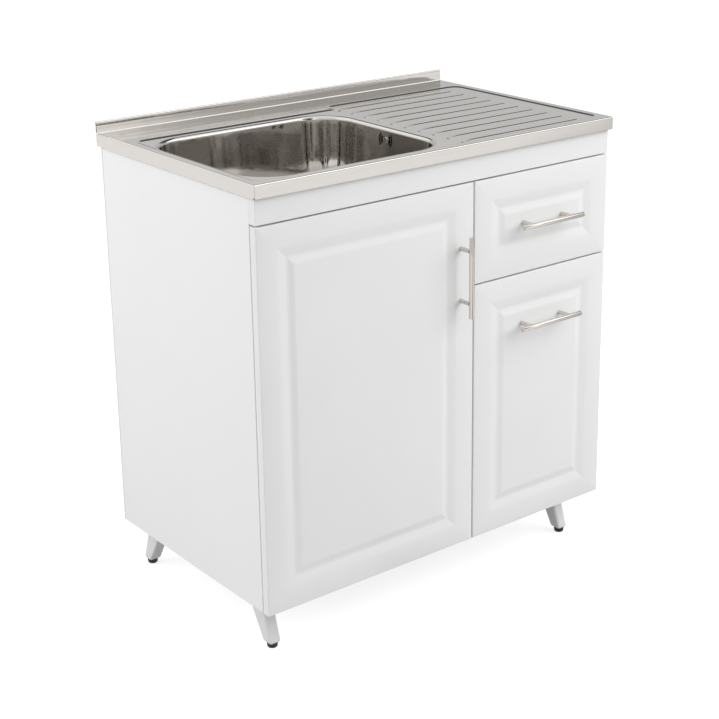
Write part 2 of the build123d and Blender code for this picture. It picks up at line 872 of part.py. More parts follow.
def handle(label, centre, direction):
    # a round bar on two posts, each held by a screw from behind the front
    cx, cz = centre
    half = handle_hole_spacing / 2
    spots = [(cx + side * half * direction[0], cz + side * half * direction[1]) for side in (-1, 1)]
    along = (direction[0], 0, direction[1])
    with BuildPart() as bar:
        with BuildSketch(Plane(origin=(cx, handle_axis_y, cz), z_dir=along)):
            Circle(handle_radius)
        extrude(amount=handle_length / 2, both=True)
        chamfer(bar.edges().filter_by(GeomType.CIRCLE), length=handle_chamfer)
    finish(bar, f"{label}_handle_bar")
    post_end = handle_axis_y + handle_radius
    with BuildPart() as posts:
        for x, z in spots:
            with BuildSketch(Plane(origin=(x, face_y, z), z_dir=(0, -1, 0))):
                Circle(post_radius)
            extrude(amount=face_y - post_end)
            with BuildSketch(Plane(origin=(x, face_y, z), z_dir=(0, -1, 0))):
                Circle(handle_screw_radius + fit_gap)
            extrude(amount=handle_screw_bite + fit_gap, mode=Mode.SUBTRACT)
    finish(posts, f"{label}_handle_posts")
    head_y = face_y + front_thickness
    with BuildPart() as screws:
        for x, z in spots:
            with BuildSketch(Plane(origin=(x, head_y, z), z_dir=(0, -1, 0))):
                Circle(handle_screw_radius)
            extrude(amount=front_thickness + handle_screw_bite)
            with BuildSketch(Plane(origin=(x, head_y, z), z_dir=(0, 1, 0))):
                Circle(handle_screw_head)
            extrude(amount=handle_screw_head_height)
    finish(screws, f"{label}_handle_screws")
    return spots


# ---------------------------------------------------------------- door and hinges
def hinge_plane(height):
    # u to the right from the door's hinge edge, w backward from the door's face
    return Plane(origin=(door_left, face_y, height), x_dir=(1, 0, 0), z_dir=(0, 0, 1))


def door():
    centre = (door_right - door_handle_inset, front_top - door_handle_drop)
    spots = handle("door", centre, (0, 1))
    front = routed_front((door_left, door_right), (carcass_bottom, front_top), spots)
    cup_x = door_left + cup_centre_u
    with BuildPart() as piece:
        add(front.part)
        for height in hinge_heights:
            back = Plane(origin=(cup_x, face_y + front_thickness, height), z_dir=(0, 1, 0))
            with BuildSketch(back):
                Circle(cup_radius + slip_gap)
            extrude(amount=-(cup_depth + slip_gap), mode=Mode.SUBTRACT)
    finish(piece, "door_panel")


def hinge_cups():
    cup_x = door_left + cup_centre_u
    with BuildPart() as piece:
        for height in hinge_heights:
            back = Plane(origin=(cup_x, face_y + front_thickness, height), z_dir=(0, 1, 0))
            with BuildSketch(back):
                Circle(cup_radius)
            extrude(amount=-cup_depth)
            with BuildSketch(back):
                Circle(cup_rim_radius)
            extrude(amount=cup_rim)
            with BuildSketch(back.offset(cup_rim)):
                Circle(cup_radius - cup_wall)
            extrude(amount=-(cup_depth + cup_rim - cup_wall), mode=Mode.SUBTRACT)
            with BuildSketch(hinge_plane(height - cup_pin_half)):
                with Locations((cup_pivot_u, cup_pivot_w)):
                    Circle(cup_pin_radius + fit_gap)
            extrude(amount=2 * cup_pin_half, mode=Mode.SUBTRACT)
    finish(piece, "hinge_cups")


def hinge_pins(label, pivot, radius, half):
    with BuildPart() as piece:
        for height in hinge_heights:
            with BuildSketch(hinge_plane(height - half)):
                with Locations(pivot):
                    Circle(radius)
            extrude(amount=2 * half)
    finish(piece, label)


def hinge_links():
    # a bent link with an eye at each end
    arm_pivot = (arm_pivot_u, arm_pivot_w)
    cup_pivot = (cup_pivot_u, cup_pivot_w)
    elbow = (link_elbow_u, link_elbow_w)
    with BuildPart() as piece:
        for height in hinge_heights:
            with BuildSketch(hinge_plane(height - link_half_width)):
                with BuildLine() as path:
                    Polyline(cup_pivot, elbow, arm_pivot)
                trace(path.edges(), line_width=link_thickness)
                with Locations(arm_pivot, cup_pivot, elbow):
                    Circle(link_thickness / 2)
                with Locations(arm_pivot):
                    Circle(link_eye)
                with Locations(cup_pivot):
                    Circle(cup_pin_radius + link_thickness / 2)
                with Locations(arm_pivot):
                    Circle(pivot_pin_radius + fit_gap, mode=Mode.SUBTRACT)
                with Locations(cup_pivot):
                    Circle(cup_pin_radius + fit_gap, mode=Mode.SUBTRACT)
            extrude(amount=2 * link_half_width)
    finish(piece, "hinge_links")


def hinge_arms():
    # two cheeks joined by a web, standing on the mounting plate
    low = board + plate_thickness + slip_gap
    high = low + arm_height
    with BuildPart() as piece:
        for height in hinge_heights:
            for start in (-arm_half_width, arm_half_width - arm_metal):
                with BuildSketch(hinge_plane(height + start)):
                    with BuildLine():
                        Polyline(
                            (arm_pivot_u, arm_pivot_w - arm_nose),
                            (high, arm_pivot_w),
                            (high, arm_back_w),
                            (low, arm_back_w),
                            (low, arm_web_start_w),
                            (arm_pivot_u - arm_nose, arm_pivot_w),
                            close=True,
                        )
                    make_face()
                    with Locations((arm_pivot_u, arm_pivot_w)):
                        Circle(arm_nose)
                        Circle(pivot_pin_radius + fit_gap, mode=Mode.SUBTRACT)
                extrude(amount=arm_metal)
            with BuildSketch(hinge_plane(height - arm_half_width)):
                with Locations((high - arm_metal / 2, (arm_web_start_w + arm_back_w) / 2)):
                    Rectangle(arm_metal, arm_back_w - arm_web_start_w)
            extrude(amount=2 * arm_half_width)
    finish(piece, "hinge_arms")


def hinge_plates():
    with BuildPart() as piece:
        for height in hinge_heights:
            face = facing((left_inner, face_y, height), (1, 0, 0), (0, 1, 0))
            with BuildSketch(face):
                with Locations(((plate_start_w + plate_end_w) / 2, 0)):
                    Rectangle(plate_end_w - plate_start_w, 2 * plate_spine_half)
                with Locations((plate_wing_w, 0)):
                    RectangleRounded(plate_wing_depth, 2 * plate_wing_half, plate_corner)
            extrude(amount=plate_thickness)
        drill_screws()
    finish(piece, "hinge_plates")


# ---------------------------------------------------------------- drawers
def drawer_box(level, low, height):
    # two sides, a back between them and a thin bottom held in grooves
    high = low + height
    groove_low = low + drawer_groove_rise
    groove_high = groove_low + drawer_bottom_board + 2 * slip_gap
    for side, x0, groove_x in (
        ("left", box_left, box_left + drawer_board - drawer_groove),
        ("right", box_right - drawer_board, box_right - drawer_board),
    ):
        groove = (groove_x, groove_x + drawer_groove)
        with BuildPart() as piece:
            block((x0, x0 + drawer_board), (box_front, box_back), (low, high))
            block(groove, (box_front, box_back), (groove_low, groove_high), Mode.SUBTRACT)
        finish(piece, f"{level}_drawer_side_{side}")
    inner = (box_left + drawer_board, box_right - drawer_board)
    with BuildPart() as back:
        block(inner, (box_back - drawer_board, box_back), (groove_high, high))
    finish(back, f"{level}_drawer_back")
    tuck = drawer_groove - slip_gap
    floor_z = (groove_low + slip_gap, groove_high - slip_gap)
    with BuildPart() as floor:
        block((inner[0] - tuck, inner[1] + tuck), (box_front, box_back), floor_z)
    finish(floor, f"{level}_drawer_bottom")


def drawer_front(level, low, high, handle_z):
    centre = ((drawer_front_left + drawer_front_right) / 2, handle_z)
    spots = handle(f"{level}_drawer", centre, (1, 0))
    piece = routed_front((drawer_front_left, drawer_front_right), (low, high), spots)
    finish(piece, f"{level}_drawer_front")


def cabinet_runners(level, low):
    # channels screwed to the divider and the side panel, with the front rollers' axles
    x0 = divider_right
    y_range = (carcass_front + runner_start, carcass_front + runner_start + runner_length)
    high = low + runner_height
    with BuildPart() as piece:
        block((x0, x0 + runner_metal), y_range, (low, high))
        block((x0, x0 + runner_flange), y_range, (low, low + runner_metal))
        block((x0, x0 + runner_flange), (y_range[0] + track_start, y_range[1]), (high - runner_metal, high))
        axle_y = y_range[0] + roller_end_distance
        with BuildSketch(facing((x0, axle_y, roller_height(low)), (1, 0, 0), (0, 1, 0))):
            Circle(roller_axle)
        extrude(amount=roller_from_panel + roller_width)
        mirror(about=Plane.YZ.offset(drawer_x))
        drill_screws()
    finish(piece, f"{level}_cabinet_runners")


def roller_height(low):
    return low + runner_metal + roller_rest + roller_radius


def drawer_runners(level, low):
    # angles under the drawer's sides: a web, a foot under the side and a track above
    outer = box_left - runner_metal
    foot_high = low + box_above_runner
    track_low = roller_height(low) + roller_radius + roller_rest
    foot_end = box_left + drawer_board - runner_metal
    y_range = (box_front, box_back)
    track_end = box_back - 2 * roller_radius - roller_end_distance
    with BuildPart() as piece:
        block((outer, box_left), y_range, (foot_high - runner_metal, track_low + runner_metal))
        block((outer, foot_end), y_range, (foot_high - runner_metal, foot_high))
        block(
            (divider_right + roller_from_panel, box_left),
            (box_front, track_end),
            (track_low, track_low + runner_metal),
        )
        axle_y = box_back - roller_end_distance
        with BuildSketch(facing((box_left, axle_y, roller_height(low)), (-1, 0, 0), (0, 1, 0))):
            Circle(roller_axle)
        extrude(amount=runner_gap - roller_from_panel)
        mirror(about=Plane.YZ.offset(drawer_x))
    finish(piece, f"{level}_drawer_runners")


def rollers(label, low, y):
    x0 = divider_right + roller_from_panel
    with BuildPart() as piece:
        with BuildSketch(facing((x0, y, roller_height(low)), (1, 0, 0), (0, 1, 0))):
            Circle(roller_radius)
            Circle(roller_axle + fit_gap, mode=Mode.SUBTRACT)
        extrude(amount=roller_width)
        mirror(about=Plane.YZ.offset(drawer_x))
    finish(piece, label)


def drawer(level, front_low, front_high, height, handle_z):
    low = runner_low[level]
    drawer_front(level, front_low, front_high, handle_z)
    drawer_box(level, box_low[level], height)
    cabinet_runners(level, low)
    drawer_runners(level, low)
    rollers(f"{level}_front_rollers", low, carcass_front + runner_start + roller_end_distance)
    rollers(f"{level}_rear_rollers", low, box_back - roller_end_distance)


# ---------------------------------------------------------------- build everything
os.makedirs("parts", exist_ok=True)
sink_top()
sink_bowl()
waste_flange()
waste_gasket()
waste_body()
waste_screws()
strainer_basket()
overflow_head()
overflow_pipe()
side_panels()
bottom_panel()
divider_panel()
front_rail()
rear_rail()
back_panel()
sink_clips()
cabinet_screw_set()
legs()
leg_plates()
leg_bolts()
foot_glides()
door()
hinge_cups()
hinge_pins("hinge_cup_pins", (cup_pivot_u, cup_pivot_w), cup_pin_radius, cup_pin_half)
hinge_pins("hinge_arm_pins", (arm_pivot_u, arm_pivot_w), pivot_pin_radius, arm_half_width)
hinge_links()
hinge_arms()
hinge_plates()
upper_low = front_split + reveal / 2
lower_high = front_split - reveal / 2
drawer("upper", upper_low, front_top, upper_box_height, (upper_low + front_top) / 2)
drawer("lower", carcass_bottom, lower_high, lower_box_height, lower_high - deep_handle_drop)
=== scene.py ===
import json
from math import pi, radians

import bmesh
import bpy
import numpy as np
from mathutils import Matrix, Vector


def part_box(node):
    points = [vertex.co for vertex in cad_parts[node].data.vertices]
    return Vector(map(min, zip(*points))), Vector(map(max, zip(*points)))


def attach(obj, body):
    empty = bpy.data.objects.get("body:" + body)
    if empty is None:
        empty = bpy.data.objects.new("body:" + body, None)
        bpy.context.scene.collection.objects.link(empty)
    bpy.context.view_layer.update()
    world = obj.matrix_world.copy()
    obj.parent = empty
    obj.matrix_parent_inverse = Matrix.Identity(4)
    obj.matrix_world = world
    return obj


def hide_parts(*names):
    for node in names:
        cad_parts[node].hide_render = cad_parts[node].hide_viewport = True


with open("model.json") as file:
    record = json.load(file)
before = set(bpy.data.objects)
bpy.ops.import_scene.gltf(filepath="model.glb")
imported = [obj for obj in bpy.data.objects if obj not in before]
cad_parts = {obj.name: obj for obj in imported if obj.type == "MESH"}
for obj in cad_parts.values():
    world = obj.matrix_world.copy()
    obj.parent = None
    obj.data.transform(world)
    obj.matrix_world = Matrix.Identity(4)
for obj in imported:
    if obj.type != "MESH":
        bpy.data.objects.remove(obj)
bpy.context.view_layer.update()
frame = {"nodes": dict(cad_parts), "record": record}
print("frame loaded with", len(frame["nodes"]), "nodes")

millimetre = 0.001
# in millimetres, smaller than anything modelled
hair = 1e-3
bodies = frame["record"]["behaviour"]["bodies"]
bodyOfNode = {node: body for body, nodes in bodies.items() for node in nodes}
slotOfNode = {part["node"]: part["material_slot"] for part in frame["record"]["subparts"]}


def cornersOf(node):
    # lowest and highest corner of a CAD node, in millimetres
    return np.array([list(corner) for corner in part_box(node)]) / millimetre


def linear(hexColour):
    # an sRGB hex colour turned to linear red, green, blue and alpha
    parts = np.array([int(hexColour[i:i + 2], 16) for i in (1, 3, 5)]) / 255
    curved = np.where(parts <= 0.04045, parts / 12.92, ((parts + 0.055) / 1.055) ** 2.4)
    return (*curved.tolist(), 1.0)


# finishes

def addNode(tree, kind, inputs=(), **settings):
    # a shader node with its own settings, and a value or a link for each named input
    node = tree.nodes.new(kind)
    for name, value in settings.items():
        setattr(node, name, value)
    for name, value in dict(inputs).items():
        if isinstance(value, bpy.types.NodeSocket):
            tree.links.new(value, node.inputs[name])
        else:
            node.inputs[name].default_value = value
    return node


def emptyFinish(name):
    material = bpy.data.materials.new(name)
    material.use_nodes = True
    material.node_tree.nodes.clear()
    return material, material.node_tree


def patchyNoise(tree, place, size, detail=2.0):
    # noise whose patches are about size millimetres across, one size for each axis
    scale = [1 / (width * millimetre) for width in size]
    mapped = addNode(tree, "ShaderNodeMapping", {"Vector": place, "Scale": scale})
    inputs = {"Vector": mapped.outputs["Vector"], "Scale": 1.0, "Detail": detail}
    return addNode(tree, "ShaderNodeTexNoise", inputs).outputs["Fac"]


# nearly all of Blender's noise lies between these values
noiseLow, noiseHigh = 0.3, 0.7


def toneAndRoughness(tree, pattern, look):
    # a pattern takes the colour from darker to lighter and the roughness from one end to the other
    tone = addNode(tree, "ShaderNodeMix", {
        "Factor": pattern, "A": linear(look["darker"]), "B": linear(look["lighter"]),
    }, data_type="RGBA")
    rough = addNode(tree, "ShaderNodeMapRange", {
        "Value": pattern, "From Min": noiseLow, "From Max": noiseHigh,
        "To Min": look["roughness"][0], "To Max": look["roughness"][1]})
    return tone.outputs["Result"], rough.outputs["Result"]


def steelFinish(name, look):
    # bare metal: its grain gives streaks in tone and gloss, and the sheet is never quite flat, so
    # its reflections wander. Real grain is about 0.05 mm wide and is drawn as coarse as it needs
    # to show, at the sizes given with each finish
    material, tree = emptyFinish(name)
    place = addNode(tree, "ShaderNodeTexCoord").outputs["Object"]
    streaks = patchyNoise(tree, place, look["grain"], detail=3.0)
    patches = patchyNoise(tree, place, look["patches"])
    tone, rough = toneAndRoughness(tree, streaks, look)
    waves = addNode(tree, "ShaderNodeBump", {
        "Height": patches, "Strength": 1.0, "Distance": look["waveHeight"] * millimetre})
    lines = addNode(tree, "ShaderNodeBump", {
        "Height": streaks, "Strength": 1.0, "Distance": look["grainHeight"] * millimetre,
        "Normal": waves.outputs["Normal"]})
    shader = addNode(tree, "ShaderNodeBsdfPrincipled", {
        "Base Color": tone, "Metallic": 1.0, "Roughness": rough, "Normal": lines.outputs["Normal"]})
    if "levelLines" in look:
        # brushed level round its walls, so highlights stretch up and down across the lines
        facing = addNode(tree, "ShaderNodeNewGeometry").outputs["Normal"]
        along = addNode(
            tree, "ShaderNodeVectorMath", {0: facing, 1: (0, 0, 1)}, operation="CROSS_PRODUCT")
        tree.links.new(along.outputs["Vector"], shader.inputs["Tangent"])
        shader.inputs["Anisotropic"].default_value = look["levelLines"]
    addNode(tree, "ShaderNodeOutputMaterial", {"Surface": shader.outputs["BSDF"]})
    return material


def coatedFinish(name, look):
    # foil, melamine, paint or moulded plastic: an even colour with a faint orange peel and
    # slightly duller patches where hands have wiped it
    material, tree = emptyFinish(name)
    place = addNode(tree, "ShaderNodeTexCoord").outputs["Object"]
    peel = patchyNoise(tree, place, look["peel"])
    patches = patchyNoise(tree, place, look["patches"])
    tone, rough = toneAndRoughness(tree, patches, look)
    bump = addNode(tree, "ShaderNodeBump", {
        "Height": peel, "Strength": 1.0, "Distance": look["peelHeight"] * millimetre})
    shader = addNode(tree, "ShaderNodeBsdfPrincipled", {
        "Base Color": tone, "Roughness": rough, "Normal": bump.outputs["Normal"],
        "IOR": look["ior"]})
    addNode(tree, "ShaderNodeOutputMaterial", {"Surface": shader.outputs["BSDF"]})
    return material


# pattern sizes are in millimetres: along the unit, from front to back, and upwards
finishLooks = {
    # 18/8 stainless sheet, brushed along its length and pressed: a warm grey with long streaks
    "stainless_sheet": ("pressedStainless", steelFinish, {
        "darker": "#D9D5D0", "lighter": "#E1DEDA", "grain": (90, 3.5, 3.5),
        "patches": (130, 75, 75), "roughness": (0.07, 0.11), "waveHeight": 0.35,
        "grainHeight": 0.0}),
    # stainless pressed small and buffed: bright, with fine scuffs
    "polished_stainless": ("polishedStainless", steelFinish, {
        "darker": "#C4C0BA", "lighter": "#D8D5D0", "grain": (1.2, 1.2, 1.2),
        "patches": (18, 18, 18), "roughness": (0.10, 0.18), "waveHeight": 0.01,
        "grainHeight": 0.0006}),
    # PVC foil drawn by vacuum over routed fibreboard: an even satin white
    "white_foil_front": ("whiteFoil", coatedFinish, {
        "darker": "#E9E9E9", "lighter": "#EFEFEF", "peel": (2.2, 2.2, 2.2),
        "patches": (160, 160, 160), "peelHeight": 0.004, "roughness": (0.34, 0.42), "ior": 1.5}),
    # melamine paper pressed on chipboard: a flat white with a faint pearl grain
    "white_board": ("whiteMelamine", coatedFinish, {
        "darker": "#EEEEEF", "lighter": "#F3F3F4", "peel": (1.4, 1.4, 1.4),
        "patches": (220, 220, 220), "peelHeight": 0.006, "roughness": (0.42, 0.52), "ior": 1.5}),
    # a plainer grade of it for the drawer boxes: a little greyer and duller
    "white_drawer_board": ("whiteDrawerMelamine", coatedFinish, {
        "darker": "#E9E9E8", "lighter": "#EFEFEE", "peel": (1.6, 1.6, 1.6),
        "patches": (120, 120, 120), "peelHeight": 0.006, "roughness": (0.45, 0.55), "ior": 1.5}),
    # hardboard with one painted face: dull, with the tooth of its fibres
    "hardboard": ("paintedHardboard", coatedFinish, {
        "darker": "#DAD9D6", "lighter": "#E6E5E3", "peel": (0.9, 0.9, 0.9),
        "patches": (60, 60, 60), "peelHeight": 0.02, "roughness": (0.55, 0.7), "ior": 1.45}),
    # steel bar, brushed and plated with nickel under a satin lacquer: warm, narrow highlights
    "satin_nickel": ("satinNickel", steelFinish, {
        "darker": "#CFC9C1", "lighter": "#DBD6CF", "grain": (1.6, 1.6, 1.6),
        "patches": (30, 30, 30), "roughness": (0.07, 0.11), "waveHeight": 0.0,
        "grainHeight": 0.0}),
    # pressed steel plated with zinc: a cool, slightly cloudy grey
    "zinc_steel": ("zincPlatedSteel", steelFinish, {
        "darker": "#B4B7BA", "lighter": "#CFD2D4", "grain": (1.5, 1.5, 1.5),
        "patches": (12, 12, 12), "roughness": (0.28, 0.42), "waveHeight": 0.01,
        "grainHeight": 0.002}),
    # pressed steel plated with nickel: warmer and brighter than zinc
    "nickel_steel": ("nickelPlatedSteel", steelFinish, {
        "darker": "#BDB8B0", "lighter": "#D3CFC9", "grain": (1.2, 1.2, 1.2),
        "patches": (14, 14, 14), "roughness": (0.16, 0.28), "waveHeight": 0.01,
        "grainHeight": 0.001}),
    # steel runners in baked powder coat: a glossier white with orange peel
    "white_steel": ("powderCoatedSteel", coatedFinish, {
        "darker": "#E8E8E6", "lighter": "#F0F0EE", "peel": (0.9, 0.9, 0.9),
        "patches": (40, 40, 40), "peelHeight": 0.008, "roughness": (0.36, 0.46), "ior": 1.5}),
    # moulded nylon rollers: a milky, warmer white
    "white_nylon": ("mouldedNylon", coatedFinish, {
        "darker": "#E1E0DA", "lighter": "#EAE9E4", "peel": (0.6, 0.6, 0.6),
        "patches": (8, 8, 8), "peelHeight": 0.003, "roughness": (0.35, 0.45), "ior": 1.53}),
    # moulded ABS legs: a satin light grey with the fine texture of their mould
    "grey_leg_plastic": ("greyAbs", coatedFinish, {
        "darker": "#E0E0E1", "lighter": "#E7E7E8", "peel": (0.8, 0.8, 0.8),
        "patches": (30, 30, 30), "peelHeight": 0.004, "roughness": (0.36, 0.46), "ior": 1.5}),
    # moulded polyethylene glides: nearly black and waxy
    "black_glide": ("blackPolyethylene", coatedFinish, {
        "darker": "#0C0C0C", "lighter": "#171717", "peel": (0.7, 0.7, 0.7),
        "patches": (9, 9, 9), "peelHeight": 0.006, "roughness": (0.38, 0.5), "ior": 1.5}),
    # moulded polypropylene water fittings: a clean white, a little glossy
    "white_waste_plastic": ("mouldedPolypropylene", coatedFinish, {
        "darker": "#E6E6E6", "lighter": "#EEEEEE", "peel": (0.8, 0.8, 0.8),
        "patches": (25, 25, 25), "peelHeight": 0.004, "roughness": (0.3, 0.4), "ior": 1.49}),
    # moulded rubber seal: dull black
    "black_rubber": ("mouldedRubber", coatedFinish, {
        "darker": "#0E0E0E", "lighter": "#191919", "peel": (0.5, 0.5, 0.5),
        "patches": (10, 10, 10), "peelHeight": 0.01, "roughness": (0.6, 0.75), "ior": 1.5}),
}
finishes = {slot: make(name, look) for slot, (name, make, look) in finishLooks.items()}

# the drawn bowl keeps the lines of the belt that polished it, level round its walls, so its
# reflections stretch up and down
drawnStainless = steelFinish("drawnStainless", {
    "darker": "#C6C3BF", "lighter": "#D3D0CD", "grain": (70, 70, 3.5), "patches": (90, 90, 60),
    "roughness": (0.045, 0.075), "waveHeight": 0.35, "grainHeight": 0.0, "levelLines": 0.35})

for node, shape in frame["nodes"].items():
    for place in shape.material_slots:
        place.material = finishes[slotOfNode[node]]
print("finishes made:", len(finishes) + 1)


# shapes

def ease(t):
    # nought below nought, one above one, and a smooth step between
    t = np.clip(t, 0, 1)
    return t * t * (3 - 2 * t)


def gridPatch(points, closed=(False, False), keep=None):
    # the quads of a grid of points, joined round where the grid is closed
    rows, columns = points.shape[:2]
    index = np.arange(rows * columns).reshape(rows, columns)
    if closed[0]:
        index = np.vstack([index, index[:1]])
    if closed[1]:
        index = np.hstack([index, index[:, :1]])
    quads = np.stack([index[:-1, :-1], index[1:, :-1], index[1:, 1:], index[:-1, 1:]], axis=-1)
    if keep is not None:
        quads = quads[keep]
    return points.reshape(-1, 3), quads.reshape(-1, 4)


def makeShape(name, patches, sharpAngle, closeHoles=True):
    # one object from patches given in millimetres
    starts = np.cumsum([0] + [len(points) for points, quads in patches])
    points = np.concatenate([points for points, quads in patches]) * millimetre
    quads = np.concatenate([quads + start for (_, quads), start in zip(patches, starts)])
    mesh = bpy.data.meshes.new(name)
    mesh.vertices.add(len(points))
    mesh.vertices.foreach_set("co", points.ravel())
    mesh.loops.add(quads.size)
    mesh.loops.foreach_set("vertex_index", quads.ravel())
    mesh.polygons.add(len(quads))
    mesh.polygons.foreach_set("loop_start", np.arange(0, quads.size, 4))
    mesh.update(calc_edges=True)
    shell = bmesh.new()
    shell.from_mesh(mesh)
    bmesh.ops.remove_doubles(shell, verts=shell.verts, dist=2 * hair * millimetre)
    loose = [vertex for vertex in shell.verts if not vertex.link_faces]
    bmesh.ops.delete(shell, geom=loose, context="VERTS")
    if closeHoles:
        edges = [edge for edge in shell.edges if edge.is_boundary]
        bmesh.ops.holes_fill(shell, edges=edges, sides=0)
        bmesh.ops.recalc_face_normals(shell, faces=shell.faces)
    shell.to_mesh(mesh)
    shell.free()
    mesh.shade_smooth()
    mesh.set_sharp_from_angle(angle=radians(sharpAngle))
    shape = bpy.data.objects.new(name, mesh)
    bpy.context.collection.objects.link(shape)
    return shape


def makePiece(name, patches, finish, nodes, sharpAngle=32, closeHoles=True):
    # a shape that stands for some CAD nodes, in its finish
    piece = makeShape(name, patches, sharpAngle, closeHoles)
    piece.data.materials.append(finish)
    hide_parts(*nodes)
    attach(piece, bodyOfNode[nodes[0]])
    return piece


def cutHoles(piece, patches, sharpAngle):
    # takes closed shapes out of a piece and keeps the result as its mesh
    cutter = makeShape(piece.name + "Cutter", patches, sharpAngle)
    cut = piece.modifiers.new("cut", "BOOLEAN")
    cut.object = cutter
    cut.solver = "EXACT"
    cut.operation = "DIFFERENCE"
    graph = bpy.context.evaluated_depsgraph_get()
    mesh = bpy.data.meshes.new_from_object(piece.evaluated_get(graph))
    piece.modifiers.clear()
    piece.data = mesh
    mesh.set_sharp_from_angle(angle=radians(sharpAngle))
    bpy.data.objects.remove(cutter)


def gradedLines(start, stop, marks, fine, coarse, reach, samples=6000):
    # places from start to stop whose spacing is fine near the marks and grows to coarse
    place = np.linspace(start, stop, samples)
    near = np.abs(place[:, None] - np.array(marks)[None, :]).min(axis=1)
    spacing = fine + (coarse - fine) * ease((near - reach) / (2 * reach))
    count = np.concatenate([[0], np.cumsum(np.diff(place) / spacing[1:])])
    return np.interp(np.linspace(0, count[-1], int(np.ceil(count[-1])) + 1), count, place)


def boxDistance(x, y, low, high, radius):
    # distance from a point to a rounded rectangle, below nought inside: the corner distance
    # outside the straight part, less the radius
    middle, half = (np.array(low) + high) / 2, (np.array(high) - low) / 2
    beyondX = np.abs(x - middle[0]) - half[0] + radius
    beyondY = np.abs(y - middle[1]) - half[1] + radius
    outside = np.hypot(np.maximum(beyondX, 0), np.maximum(beyondY, 0))
    return outside + np.minimum(np.maximum(beyondX, beyondY), 0) - radius


def pullTo(x, y, distance, chosen, step=0.01):
    # moves the chosen points along the slope of a distance function onto its zero line
    slopeX = (distance(x + step, y) - distance(x - step, y)) / (2 * step)
    slopeY = (distance(x, y + step) - distance(x, y - step)) / (2 * step)
    gap = np.where(chosen, distance(x, y), 0)
    return x - gap * slopeX, y - gap * slopeY


def roundedOutline(low, high, radii, cornerSteps, sideSteps):
    # points and outward directions round a rounded rectangle, anticlockwise from the back
    # right corner: a quarter circle at each corner, joined by straight sides
    signs = [(1, 1), (-1, 1), (-1, -1), (1, -1)]
    corners = []
    for turn, (sign, radius) in enumerate(zip(signs, radii)):
        edge = np.where(np.array(sign) > 0, high, low)
        angle = np.radians(90 * turn + np.linspace(0, 90, cornerSteps + 1))
        way = np.stack([np.cos(angle), np.sin(angle)], axis=-1)
        corners.append((edge - np.array(sign) * radius + radius * way, way))
    points, ways = [], []
    for turn in range(4):
        arc, way = corners[turn]
        following = corners[(turn + 1) % 4][0][0]
        along = np.linspace(0, 1, sideSteps + 1)[1:-1, None]
        points += [arc, arc[-1] + (following - arc[-1]) * along]
        ways += [way, np.repeat(way[-1:], len(along), axis=0)]
    return np.concatenate(points), np.concatenate(ways)


def carryProfile(outline, ways, insets, heights):
    # a profile carried along a path: each point is the path's point moved inward by the
    # inset, at the profile's height
    flat = outline[:, None, :] - ways[:, None, :] * np.asarray(insets)[None, :, None]
    level = np.broadcast_to(np.asarray(heights, float)[None, :, None], (*flat.shape[:2], 1))
    return np.concatenate([flat, level], axis=-1)


def arcPoints(centre, radius, start, stop, steps):
    # points of a circle's arc between two angles in degrees
    angle = np.radians(np.linspace(start, stop, steps + 1))
    way = np.stack([np.cos(angle), np.sin(angle)], axis=-1)
    return np.asarray(centre, float) + radius * way


# along none of the axes that shapes are turned about
slantWay = (0.36, 0.48, 0.8)


def turnedShape(profile, start, way, steps=56):
    # a profile of distances along an axis and radii, turned round that axis
    profile = np.asarray(profile, float)
    way = np.asarray(way, float) / np.linalg.norm(way)
    side = np.cross(way, slantWay)
    side /= np.linalg.norm(side)
    other = np.cross(way, side)
    angle = np.linspace(0, 2 * pi, steps, endpoint=False)
    ring = np.cos(angle)[:, None] * side + np.sin(angle)[:, None] * other
    along = np.asarray(start, float) + profile[:, 0][None, :, None] * way
    return gridPatch(along + profile[:, 1][None, :, None] * ring[:, None, :], (True, False))


# sink top

sheetLook = {
    "thickness": 0.8, "rollRadius": 2.5, "frontRightRadius": 5.0, "flatEdge": 1.5,
    "fieldMargin": 15.0, "fieldDepth": 1.8, "rampWidth": 8.0, "fieldRadius": 24.0,
    "bowlFieldBack": 100.0, "drainerFieldBack": 72.0, "drainerLeft": 444.0, "seamLeft": 440.0,
    "beadFromBack": 41.0, "beadHalf": 14.0, "beadRadius": 13.5, "beadEndMargin": 24.0,
    "beadDepth": 0.4, "beadRamp": 10.0,
    "ribCount": 10, "ribFirst": 36.0, "ribPitch": 39.5, "ribHalf": 6.0, "ribRise": 0.8,
    "ribCrown": 1.15, "ribLeft": 452.0, "ribRightMargin": 64.0, "ribHook": 11.0,
    "ribHookLength": 34.0,
    "edgeHem": 1.1, "edgeHemLap": 1.0, "edgeHemReturn": 8.0, "cornerHole": 1.5,
    "cornerHoleRise": 1.8, "cornerHoleDepth": 9.0,
    "upstandRise": 21.0, "upstandFold": 4.0, "upstandFillet": 1.0, "upstandGap": 0.6,
    "leanStart": 9.0, "lean": 0.65, "hemRadius": 1.75, "hemHeight": 1.2,
    # where the grid's lines crowd: beside a border, a bead's side, a bead's end and the seam
    "borderMark": 3.0, "beadMark": 2.0, "beadEndMark": 4.0, "seamMark": 10.0,
    # the finest and coarsest spacing of those lines and how far from a mark it stays fine
    "linesAcross": (1.1, 4.0, 5.5), "linesLeft": (1.3, 7.0, 6.0), "linesRight": (1.3, 7.0, 9.0),
}
bowlLook = {
    "left": 28.0, "front": 31.0, "width": 396.0, "length": 347.0, "cornerRadius": 70.0,
    "rimRadius": 7.0, "flange": 2.0, "draft": 4.0, "floorRadius": 42.0, "floorFall": 3.0,
    "wasteRadius": 28.4, "overflowDrop": 24.0, "flangeLift": 0.02,
}
